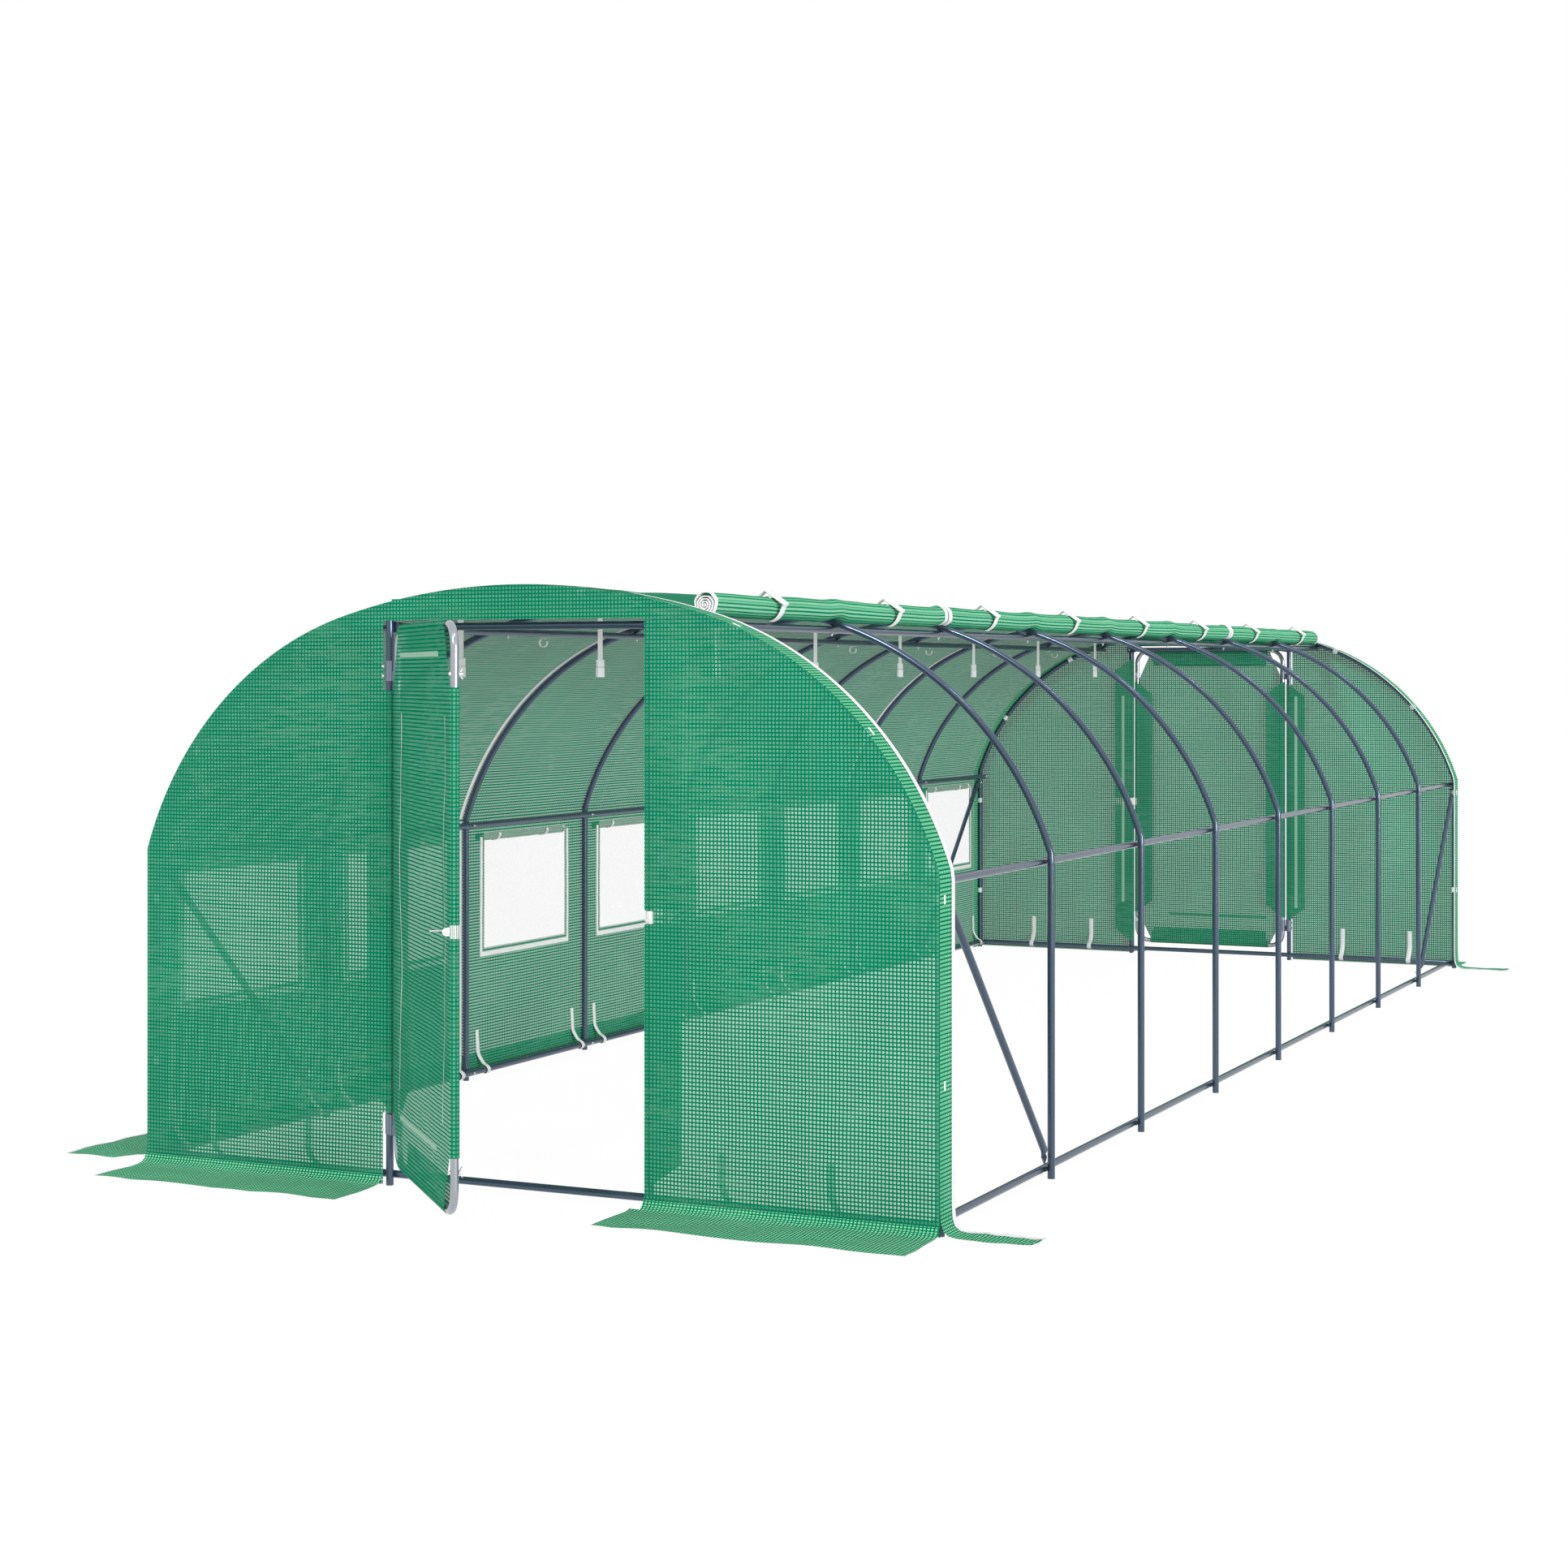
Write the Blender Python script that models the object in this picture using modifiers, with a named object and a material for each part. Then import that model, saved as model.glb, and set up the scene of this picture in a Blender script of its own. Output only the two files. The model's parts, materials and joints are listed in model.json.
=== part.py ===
"""Walk-in polytunnel, 8 m by 3 m by 2 m, with one long side rolled up and the front door open.

Nine bent tube hoops stand on the ground and are tied by straight rails. Each end has two door posts,
a lintel and a hinged door. The grid-reinforced cover comes in three sections, and each end has a
fitted panel. Metres, +Z up, +Y from the front end to the rear end, ground at z = 0.
"""
import math

import bmesh
import bpy
import numpy as np
from mathutils import Matrix, Vector

# Frame tubes and hoops
TUBE_D = 0.025
GAP = 0.0003
HALF_WIDTH = 1.45
BAY = 1.0
BAYS = 8
EAVES_Z = 1.079
EAVES_LEAN_DEG = 17.5
TOP_ARC_HALF_DEG = 16.333
APEX_Z = 1.953
SIDE_STEPS = 7
TOP_STEPS = 6

# Rails
BASE_RAIL_Z = 0.033
WAIST_RAIL_DROP = 0.024
SHOULDER_X = 0.65
RAIL_OVERHANG = 0.008
BRACE_TOP_DROP = 0.025
BRACE_FOOT_RISE = 0.030
BRACE_INSET = 0.028
FLAT_T = 0.004
FLAT_LEN = 0.035
FLAT_TAPER = 0.030

# Doorway, door and its hardware
POST_X = 0.484
LINTEL_DROP = 0.067
LINTEL_TAIL = 0.022
STILE_X = 0.446
DOOR_BOTTOM_Z = 0.0825
DOOR_TOP_DROP = 0.0075
DOOR_CORNER_R = 0.075
FRONT_OPEN_DEG = 46.0
HINGE_LOW_Z = 0.202
HINGE_HIGH_DROP = 0.1375
HINGE_H = 0.066
HINGE_AXIS_OUT = 0.0187
BARREL_R = 0.0055
HINGE_PIN_R = 0.0025
HINGE_PIN_PLAY = 0.0004
HINGE_ARM_T = 0.003
BAND_T = 0.002
LATCH_Z = 0.918
LATCH_H = 0.040
TONGUE_T = 0.003
TONGUE_REACH = 0.022
TONGUE_H = 0.025
PIN_R = 0.003
PIN_PLAY = 0.0005
PIN_LEN = 0.055
PIN_TIP_OUT = 0.009
PIN_HANDLE = 0.042
PIN_BEND_R = 0.006
LATCH_NOTCH = 0.002

# Cover sheets
SHEET_T = 0.002
WRAP_DEPTH = 0.105
COVER_STEP_Y = 0.045
COVER_END_Y = 0.030
JOINTS = (2, 6)
SIDE_SKIRT = 0.36
END_SKIRT = 0.28
TAIL_SKIRT = 0.30
DOORWAY_RISE = 0.021
SLEEVE_LOW_Z = 0.240
SLEEVE_DROP = 0.209
FLAP_W = 0.100
DOOR_SLEEVE_LOW_Z = 0.250
DOOR_SLEEVE_DROP = 0.1875
DOOR_FLAP_H = 0.140
DOOR_SHEET_CORNER = 0.085
DOOR_WRAP_T = 0.0016
ARC_STEPS = 8
BAND_SIDES = 16

# Rolled-up right side
ROLL_R = 0.042
ROLL_PITCH = 0.0082
ROLL_TURNS = 4.5
ROLL_STEPS = 14
STRAP_W = 0.026
STRAP_T = 0.002
STRAP_START_DEG = 32.0
STRAP_STEPS = 20
BUCKLE_L = 0.040
BUCKLE_W = 0.034
BUCKLE_T = 0.005

# Windows and hanging straps
WINDOW_W = 0.745
WINDOW_H = 0.501
WINDOW_DROP = 0.055
WINDOW_TAPE = 0.032
WINDOW_PROUD = 0.001
NET_T = 0.001
FLAP_ROLL_R = 0.013
FLAP_ROLL_L = 0.700
HANG_X = -0.56
HANG_LEN = 0.21
HANG_W = 0.025
HANG_BUCKLE_H = 0.045
HANG_BUCKLE_W = 0.030
HANG_BUCKLE_T = 0.010

# Worked-out sizes
R = TUBE_D / 2
SEAT = TUBE_D + GAP
LENGTH = BAY * BAYS
HALF_LENGTH = LENGTH / 2
END_Y = HALF_LENGTH
LEAN = math.radians(EAVES_LEAN_DEG)
JOIN_ANGLE = math.radians(TOP_ARC_HALF_DEG)
# The bow's width and rise are two sums of its arcs' radii, which share a tangent at the join angle.
WIDTH_SUM = (math.sin(JOIN_ANGLE), math.cos(LEAN) - math.sin(JOIN_ANGLE))
RISE_SUM = (1 - math.cos(JOIN_ANGLE), math.cos(JOIN_ANGLE) - math.sin(LEAN))
RADII = np.linalg.solve((WIDTH_SUM, RISE_SUM), (HALF_WIDTH, APEX_Z - EAVES_Z))
TOP_RADIUS = float(RADII[0])
SIDE_RADIUS = float(RADII[1])
TOP_CZ = APEX_Z - TOP_RADIUS
SIDE_CX = HALF_WIDTH - SIDE_RADIUS * math.cos(LEAN)
SIDE_CZ = EAVES_Z - SIDE_RADIUS * math.sin(LEAN)


def arch_height(x, offset=0.0):
    """Height of the arch, offset outwards from the tube's centre line, at x from the middle plane."""
    if abs(x) <= (TOP_RADIUS + offset) * math.sin(JOIN_ANGLE):
        return TOP_CZ + math.sqrt((TOP_RADIUS + offset) ** 2 - x ** 2)
    return SIDE_CZ + math.sqrt((SIDE_RADIUS + offset) ** 2 - (abs(x) - SIDE_CX) ** 2)


WAIST_RAIL_Z = EAVES_Z - WAIST_RAIL_DROP
WINDOW_HIGH_Z = WAIST_RAIL_Z - WINDOW_DROP
WINDOW_LOW_Z = WINDOW_HIGH_Z - WINDOW_H
LINTEL_Z = arch_height(POST_X) - LINTEL_DROP
DOORWAY_TOP_Z = LINTEL_Z + DOORWAY_RISE
SLEEVE_HIGH_Z = LINTEL_Z - SLEEVE_DROP
DOOR_TOP_Z = LINTEL_Z - DOOR_TOP_DROP
DOOR_SLEEVE_HIGH_Z = DOOR_TOP_Z - DOOR_SLEEVE_DROP
HINGE_HIGH_Z = DOOR_TOP_Z - HINGE_HIGH_DROP
RIM_OFFSET = R + GAP + SHEET_T / 2
COVER_OVER_RIM = SHEET_T + GAP
POST_OUT = SEAT
FACET = math.cos(math.pi / (2 * ARC_STEPS))
SLEEVE_R = (R + GAP + SHEET_T / 2) / FACET
SLEEVE_OUT = (R + GAP + SHEET_T) / FACET
DOOR_OUT = R + SLEEVE_OUT + GAP
AXIS_X = (POST_X + STILE_X) / 2
AXIS_OUT = DOOR_OUT + HINGE_AXIS_OUT
STILE_X_FROM_AXIS = AXIS_X - STILE_X
BAND_FACET = math.cos(math.pi / BAND_SIDES)
BAND_R = (R + GAP) / BAND_FACET
CLAMP_OUT = BAND_R + BAND_T
FREE_STILE_X = STILE_X_FROM_AXIS + 2 * STILE_X
PIN_Y = HINGE_AXIS_OUT - CLAMP_OUT - TONGUE_REACH + TONGUE_H / 2
FACE_Y = END_Y + POST_OUT + SLEEVE_R
OPEN = math.radians(FRONT_OPEN_DEG)
DOOR_REACH = ((FREE_STILE_X + TONGUE_T / 2) * math.sin(OPEN)
              + (CLAMP_OUT + TONGUE_REACH - HINGE_AXIS_OUT) * math.cos(OPEN))
DATUM_Y = (END_Y + AXIS_OUT + DOOR_REACH - (FACE_Y + END_SKIRT)) / 2
ROLL_CORE = ROLL_R - SHEET_T / 2
RAIL_X = HALF_WIDTH - SEAT

PARTS = "polytunnel"
CUTTERS = "polytunnel_cutters"
DATUM = "polytunnel_datum"


def clear_scene():
    """Remove every object, mesh, curve and extra collection of the open file."""
    for old in list(bpy.data.objects):
        bpy.data.objects.remove(old, do_unlink=True)
    for old in list(bpy.data.collections):
        bpy.data.collections.remove(old)


def collection(name):
    """Return the collection of that name, made under the scene if it is new."""
    found = bpy.data.collections.get(name)
    if found is None:
        found = bpy.data.collections.new(name)
        bpy.context.scene.collection.children.link(found)
    return found


def material(name, color, roughness, metallic=0.0):
    """One Principled material with a plain colour."""
    made = bpy.data.materials.new(name)
    made.use_nodes = True
    shader = made.node_tree.nodes["Principled BSDF"]
    shader.inputs["Base Color"].default_value = (*color, 1.0)
    shader.inputs["Roughness"].default_value = roughness
    shader.inputs["Metallic"].default_value = metallic
    made.diffuse_color = (*color, 1.0)
    return made


def place(obj, mat, parent=None):
    """Put an object in the model's collection with its material, and it and its guides on a carrier."""
    carrier = parent or bpy.data.objects[DATUM]
    collection(PARTS).objects.link(obj)
    obj.data.materials.clear()
    obj.data.materials.append(mat)
    obj.parent = carrier
    for step in obj.modifiers:
        if step.type == "BOOLEAN":
            step.object.parent = carrier
    return obj


def empty(name, location, turn_deg=0.0, parent=None):
    """An empty that carries other pieces, such as a door at its hinge axis."""
    obj = bpy.data.objects.new(name, None)
    obj.location = location
    obj.rotation_euler = (0.0, 0.0, math.radians(turn_deg))
    obj.parent = parent
    collection(PARTS).objects.link(obj)
    return obj


def mesh_object(name, bm):
    """A new mesh object from a bmesh, not yet in a collection."""
    mesh = bpy.data.meshes.new(name)
    bmesh.ops.recalc_face_normals(bm, faces=bm.faces)
    bm.to_mesh(mesh)
    bm.free()
    return bpy.data.objects.new(name, mesh)


def add_box(bm, low, high):
    """Add a box between two corners to a bmesh."""
    low = Vector(low)
    high = Vector(high)
    size = high - low
    matrix = Matrix.Translation((low + high) / 2) @ Matrix.Diagonal((*size, 1.0))
    return bmesh.ops.create_cube(bm, size=1.0, matrix=matrix)["verts"]


def add_rod(bm, start, end, radius, sides):
    """Add a closed straight rod between two points to a bmesh."""
    start = Vector(start)
    end = Vector(end)
    axis = end - start
    turn = Vector((0, 0, 1)).rotation_difference(axis).to_matrix().to_4x4()
    matrix = Matrix.Translation((start + end) / 2) @ turn
    made = bmesh.ops.create_cone(bm, cap_ends=True, cap_tris=False, segments=sides,
                                 radius1=radius, radius2=radius, depth=axis.length, matrix=matrix)
    return made["verts"]


def boolean(obj, tool, operation):
    """Join or cut an object with a guide object, which stays out of the build."""
    tool.hide_render = True
    tool.display_type = "WIRE"
    if not tool.users_collection:
        collection(CUTTERS).objects.link(tool)
    step = obj.modifiers.new(operation.lower(), "BOOLEAN")
    step.operation = operation
    step.solver = "EXACT"
    step.object = tool
    return step


def smooth(obj, angle_deg=40.0):
    """Shade a mesh smooth apart from its real edges."""
    obj.data.shade_smooth()
    obj.data.set_sharp_from_angle(angle=math.radians(angle_deg))


def tube(name, points, radius, mat, parent=None):
    """A round tube as a poly curve with a bevel and filled caps."""
    curve = bpy.data.curves.new(name, "CURVE")
    curve.dimensions = "3D"
    curve.bevel_depth = radius
    curve.bevel_resolution = 2
    curve.use_fill_caps = True
    spline = curve.splines.new("POLY")
    spline.points.add(len(points) - 1)
    for point, place_at in zip(spline.points, points):
        point.co = (*place_at, 1.0)
    return place(bpy.data.objects.new(name, curve), mat, parent)


def arch_point(angle, offset):
    """Point of the arch at an angle from the vertical, offset outwards from the tube's centre line.

    Positive angles lie to the right. The top arc spans the join angle to each side, and beyond it
    the tighter side arcs run down to the eaves.
    """
    side = math.copysign(1.0, angle)
    if abs(angle) <= JOIN_ANGLE:
        radius = TOP_RADIUS + offset
        return radius * math.sin(angle), TOP_CZ + radius * math.cos(angle)
    radius = SIDE_RADIUS + offset
    return side * (SIDE_CX + radius * math.sin(abs(angle))), SIDE_CZ + radius * math.cos(angle)


def arch_angles():
    """Angles of the arch's corner points from the left eaves to the right eaves."""
    eaves = math.pi / 2 - LEAN
    left = np.linspace(-eaves, -JOIN_ANGLE, SIDE_STEPS + 1)
    top = np.linspace(-JOIN_ANGLE, JOIN_ANGLE, TOP_STEPS + 1)
    return [float(a) for a in np.concatenate([left, top[1:], -left[::-1][1:]])]


def eaves_corner(offset, side):
    """Mitred corner where an offset line leaves the straight leg for the arch."""
    return side * (HALF_WIDTH + offset), EAVES_Z + offset * math.tan(LEAN / 2)


def arch_path(offset, foot_z, last_angle=None):
    """Points (x, z) of an offset line from the left foot over the arch.

    It ends at the right foot, or on the arch at last_angle where that is given.
    """
    points = [(-(HALF_WIDTH + offset), foot_z), eaves_corner(offset, -1)]
    angles = arch_angles()
    if last_angle is None:
        points += [arch_point(a, offset) for a in angles[1:-1]]
        points += [eaves_corner(offset, 1), (HALF_WIDTH + offset, foot_z)]
        return points
    points += [arch_point(a, offset) for a in angles[1:] if a < last_angle - 0.01]
    points.append(arch_point(last_angle, offset))
    return points


def roll_angle():
    """Angle on the arch under the rolled-up side, just past the shoulder."""
    return JOIN_ANGLE + math.radians(1.0)


def roll_centre(offset):
    """Centre (x, z) of the roll that lies on a sheet at this offset."""
    return arch_point(roll_angle(), offset + ROLL_CORE)


def roll_path(offset):
    """The sheet's path: left skirt, wall, roof, then the spiral of the rolled-up right side.

    The spiral starts under the roll and turns outwards and up, and each turn is one pitch smaller.
    """
    skirt_z = SHEET_T / 2
    wall = arch_path(offset, skirt_z, roll_angle())
    points = [(-(HALF_WIDTH + offset + SIDE_SKIRT), skirt_z)] + wall
    cx, cz = roll_centre(offset)
    start = -math.pi / 2 - roll_angle()
    for step in range(1, int(ROLL_TURNS * ROLL_STEPS) + 1):
        turn = 2 * math.pi * step / ROLL_STEPS
        radius = ROLL_CORE - ROLL_PITCH * step / ROLL_STEPS
        points.append((cx + radius * math.cos(start + turn), cz + radius * math.sin(start + turn)))
    return points


def strip(name, rows, thickness=SHEET_T):
    """A sheet from rows of points, solidified to both sides of the surface."""
    bm = bmesh.new()
    grid = [[bm.verts.new(point) for point in row] for row in rows]
    for row, after in zip(grid, grid[1:]):
        for i in range(len(row) - 1):
            bm.faces.new((row[i], row[i + 1], after[i + 1], after[i]))
    obj = mesh_object(name, bm)
    solid = obj.modifiers.new("sheet", "SOLIDIFY")
    solid.thickness = thickness
    solid.offset = 0.0
    solid.use_even_offset = True
    return obj


def rows_along_y(path_at, stations):
    """Rows of 3-D points: one (x, z) path for each (y, offset) station."""
    return [[(x, y, z) for x, z in path_at(offset)] for y, offset in stations]


def hoop(name, y, mat):
    """One hoop: two straight legs and the three-arc bow between them."""
    path = arch_path(0.0, 0.0)
    return tube(name, [(x, y, z) for x, z in path], R, mat)


def flat_ended_tube(name, start, end, seat_dir, mat):
    """A straight tube whose two ends are pressed flat against the pieces they are bolted to.

    Rings of twelve points run along the tube. At the ends the round section is squashed along
    seat_dir to FLAT_T and shifted so that the flat lies on the tube's seat side.
    """
    start = Vector(start)
    end = Vector(end)
    along = (end - start).normalized()
    seat = Vector(seat_dir).normalized()
    across = along.cross(seat).normalized()
    length = (end - start).length
    sides = 12
    round_end = FLAT_LEN + FLAT_TAPER
    flat_half = (math.pi * R - FLAT_T) / 2
    stations = [(0.0, True), (FLAT_LEN, True), (round_end, False),
                (length - round_end, False), (length - FLAT_LEN, True), (length, True)]
    bm = bmesh.new()
    rings = []
    for distance, is_flat in stations:
        ring = []
        for k in range(sides):
            a = 2 * math.pi * k / sides
            thick = FLAT_T / 2 if is_flat else R
            wide = flat_half if is_flat else R
            shift = R - FLAT_T / 2 if is_flat else 0.0
            point = start + along * distance + seat * (shift + thick * math.sin(a))
            ring.append(bm.verts.new(point + across * wide * math.cos(a)))
        rings.append(ring)
    for ring, after in zip(rings, rings[1:]):
        for k in range(sides):
            n = (k + 1) % sides
            bm.faces.new((ring[k], ring[n], after[n], after[k]))
    bm.faces.new(rings[0])
    bm.faces.new(rings[-1])
    obj = mesh_object(name, bm)
    smooth(obj)
    return place(obj, mat)


def frame(steel):
    """Hoops, rails, braces, door posts and lintels."""
    for index in range(BAYS + 1):
        hoop(f"hoop_{index + 1}", -HALF_LENGTH + BAY * index, steel)
    reach = HALF_LENGTH + R + RAIL_OVERHANG
    shoulder_z = arch_height(SHOULDER_X, -SEAT)
    for side, word in ((-1, "left"), (1, "right")):
        for name, x, z in (("base_rail", RAIL_X, BASE_RAIL_Z), ("waist_rail", RAIL_X, WAIST_RAIL_Z),
                           ("shoulder_purlin", SHOULDER_X, shoulder_z)):
            tube(f"{name}_{word}", [(side * x, -reach, z), (side * x, reach, z)], R, steel)
    tube("ridge_purlin", [(0, -reach, APEX_Z - SEAT), (0, reach, APEX_Z - SEAT)], R, steel)
    for end, word in ((-1, "front"), (1, "rear")):
        y = end * END_Y
        stop = RAIL_X - R - GAP
        tube(f"{word}_base_rail", [(-stop, y, BASE_RAIL_Z), (stop, y, BASE_RAIL_Z)], R, steel)
        for side, hand in ((-1, "left"), (1, "right")):
            post_y = end * (END_Y + POST_OUT)
            x = side * POST_X
            post_ends = [(x, post_y, 0), (x, post_y, arch_height(POST_X))]
            tube(f"{word}_door_post_{hand}", post_ends, R, steel)
            inner_y = end * (END_Y - BRACE_INSET)
            foot_y = end * (END_Y - BAY + BRACE_INSET)
            flat_ended_tube(f"{word}_brace_{hand}",
                            (side * HALF_WIDTH, inner_y, WAIST_RAIL_Z - BRACE_TOP_DROP),
                            (side * HALF_WIDTH, foot_y, BASE_RAIL_Z + BRACE_FOOT_RISE),
                            (-side, 0, 0), steel)
        tail = POST_X + LINTEL_TAIL
        flat_ended_tube(f"{word}_lintel", (-tail, y, LINTEL_Z), (tail, y, LINTEL_Z), (0, end, 0), steel)


def strap_loop(name, y, white):
    """A webbing strap round the rolled-up side, with its flat buckle on top."""
    cx, cz = roll_centre(RIM_OFFSET)
    radius = ROLL_R + GAP + STRAP_T / 2
    start = -math.pi / 2 - roll_angle()
    sweep = 2 * math.pi - math.radians(STRAP_START_DEG)
    rows = []
    for edge in (y - STRAP_W / 2, y + STRAP_W / 2):
        rows.append([(cx + radius * math.cos(start + sweep * k / STRAP_STEPS), edge,
                      cz + radius * math.sin(start + sweep * k / STRAP_STEPS))
                     for k in range(STRAP_STEPS + 1)])
    obj = strip(name, rows, STRAP_T)
    bm = bmesh.new()
    top = radius + BUCKLE_T / 2
    add_box(bm, (cx - BUCKLE_L / 2, y - BUCKLE_W / 2, cz + top - BUCKLE_T / 2 - STRAP_T / 4),
            (cx + BUCKLE_L / 2, y + BUCKLE_W / 2, cz + top + BUCKLE_T / 2))
    boolean(obj, mesh_object(name + "_buckle", bm), "UNION")
    return place(obj, white)


def window_trim(bays, offset):
    """Tape frames, rolled flaps and hanging straps that are sewn to one cover section."""
    wall_x = -(HALF_WIDTH + offset)
    trim = bmesh.new()
    cuts = bmesh.new()
    half_w = WINDOW_W / 2
    for y in bays:
        outer = wall_x - SHEET_T / 2 - WINDOW_PROUD
        add_box(trim, (outer, y - half_w, WINDOW_LOW_Z), (wall_x, y + half_w, WINDOW_HIGH_Z))
        add_box(cuts, (outer - WINDOW_PROUD, y - half_w + WINDOW_TAPE, WINDOW_LOW_Z + WINDOW_TAPE),
                (wall_x + SHEET_T / 2 - NET_T, y + half_w - WINDOW_TAPE, WINDOW_HIGH_Z - WINDOW_TAPE))
        roll_x = wall_x + FLAP_ROLL_R
        add_rod(trim, (roll_x, y - FLAP_ROLL_L / 2, WINDOW_HIGH_Z),
                (roll_x, y + FLAP_ROLL_L / 2, WINDOW_HIGH_Z), FLAP_ROLL_R, 10)
        roof_z = arch_height(HANG_X, offset)
        add_box(trim, (HANG_X - STRAP_T / 2, y - HANG_W / 2, roof_z - HANG_LEN),
                (HANG_X + STRAP_T / 2, y + HANG_W / 2, roof_z))
    return trim, cuts


def hang_buckles(bays, offset):
    """Buckles at the lower ends of the hanging straps of one cover section."""
    bm = bmesh.new()
    low = arch_height(HANG_X, offset) - HANG_LEN - HANG_BUCKLE_H / 2
    for y in bays:
        add_box(bm, (HANG_X - HANG_BUCKLE_T / 2, y - HANG_BUCKLE_W / 2, low),
                (HANG_X + HANG_BUCKLE_T / 2, y + HANG_BUCKLE_W / 2, low + HANG_BUCKLE_H))
    return bm


def cover_section(name, first, last, green):
    """One section of the cover between two hoops, with its share of the rolled-up side."""
    y0 = -HALF_LENGTH + BAY * first
    y1 = -HALF_LENGTH + BAY * last
    on_hoop = RIM_OFFSET
    on_rim = RIM_OFFSET + COVER_OVER_RIM
    step = WRAP_DEPTH + COVER_STEP_Y
    stations = []
    if first == 0:
        stations += [(y0 - COVER_END_Y, on_rim), (y0 + WRAP_DEPTH - POST_OUT, on_rim), (y0 + step, on_hoop)]
    else:
        stations.append((y0 + GAP / 2, on_hoop))
    if last == BAYS:
        stations += [(y1 - step, on_hoop), (y1 - WRAP_DEPTH + POST_OUT, on_rim), (y1 + COVER_END_Y, on_rim)]
    else:
        stations.append((y1 - GAP / 2, on_hoop))
    obj = strip(name, rows_along_y(roll_path, stations))
    bays = [-HALF_LENGTH + BAY * (k + 0.5) for k in range(first, last)]
    trim, cuts = window_trim(bays, on_hoop)
    boolean(obj, mesh_object(name + "_trim", trim), "UNION")
    boolean(obj, mesh_object(name + "_net_recess", cuts), "DIFFERENCE")
    boolean(obj, mesh_object(name + "_hang_buckles", hang_buckles(bays, on_hoop)), "UNION")
    return place(obj, green)


def end_panel(name, end, green):
    """The fitted end sheet: arch face with the doorway, rim over the hoop, sleeves and skirts."""
    half_door = POST_X - SLEEVE_R
    outline = arch_path(RIM_OFFSET, 0.0)
    half_bare = POST_X + CLAMP_OUT + LATCH_NOTCH
    jamb = [(half_bare, 0.0), (half_bare, SLEEVE_LOW_Z), (half_door, SLEEVE_LOW_Z),
            (half_door, SLEEVE_HIGH_Z), (half_bare, SLEEVE_HIGH_Z), (half_bare, DOORWAY_TOP_Z)]
    outline += jamb + [(-x, z) for x, z in reversed(jamb)]
    bm = bmesh.new()
    for y in (FACE_Y - SHEET_T / 2, FACE_Y + SHEET_T / 2):
        bm.faces.new([bm.verts.new((x, end * y, z)) for x, z in outline])
    bm.verts.ensure_lookup_table()
    count = len(outline)
    for k in range(count):
        n = (k + 1) % count
        bm.faces.new((bm.verts[k], bm.verts[n], bm.verts[count + n], bm.verts[count + k]))
    obj = mesh_object(name, bm)

    rim_in = END_Y + POST_OUT - WRAP_DEPTH
    rim = strip(name + "_rim", rows_along_y(lambda offset: arch_path(offset, 0.0),
                                            [(end * (FACE_Y + SHEET_T / 2), RIM_OFFSET),
                                             (end * rim_in, RIM_OFFSET)]))
    boolean(obj, rim, "UNION")
    for side in (-1, 1):
        boolean(obj, post_sleeve(f"{name}_sleeve_{side}", side, end), "UNION")
    bm = bmesh.new()
    inner_x = POST_X - R
    skirt_y = (FACE_Y - SHEET_T / 2, FACE_Y + END_SKIRT)
    for side in (-1, 1):
        x_pair = sorted((side * inner_x, side * (HALF_WIDTH + RIM_OFFSET)))
        y_pair = sorted((end * skirt_y[0], end * skirt_y[1]))
        add_box(bm, (x_pair[0], y_pair[0], 0.0), (x_pair[1], y_pair[1], SHEET_T))
    boolean(obj, mesh_object(name + "_skirts", bm), "UNION")
    bm = bmesh.new()
    y_pair = sorted((end * rim_in, end * (FACE_Y - SHEET_T)))
    add_box(bm, (HALF_WIDTH + RIM_OFFSET, y_pair[0], 0.0),
            (HALF_WIDTH + RIM_OFFSET + TAIL_SKIRT, y_pair[1], SHEET_T))
    boolean(obj, mesh_object(name + "_tail", bm), "UNION")
    boolean(obj, latch_notch(name, -end * POST_X, end * (END_Y + POST_OUT)), "DIFFERENCE")
    return place(obj, green)


def post_sleeve(name, side, end):
    """Sheet that folds round a door post from the panel's face and back as a double layer."""
    cx = side * POST_X
    cy = END_Y + POST_OUT
    start = POST_X + FLAP_W
    points = [(side * start, end * (cy + SLEEVE_R))]
    for k in range(ARC_STEPS + 1):
        a = math.pi / 2 + math.pi * k / ARC_STEPS
        points.append((cx + side * SLEEVE_R * math.cos(a), end * (cy + SLEEVE_R * math.sin(a))))
    points.append((side * start, end * (cy - SLEEVE_R)))
    rows = [[(x, y, z) for x, y in points] for z in (SLEEVE_LOW_Z, SLEEVE_HIGH_Z)]
    return strip(name, rows)


def rounded_frame_path():
    """Centre line of the door frame: a rectangle with bent corners, as seen from the outside.

    X runs from the hinge axis towards the latch, and the path ends where it started.
    """
    near = STILE_X_FROM_AXIS
    far = FREE_STILE_X
    r = DOOR_CORNER_R
    corners = [(far - r, DOOR_TOP_Z - r, 0), (near + r, DOOR_TOP_Z - r, 90),
               (near + r, DOOR_BOTTOM_Z + r, 180), (far - r, DOOR_BOTTOM_Z + r, 270)]
    points = []
    for cx, cz, first in corners:
        for k in range(ARC_STEPS + 1):
            a = math.radians(first + 90 * k / ARC_STEPS)
            points.append((cx + r * math.cos(a), cz + r * math.sin(a)))
    return points


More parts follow.
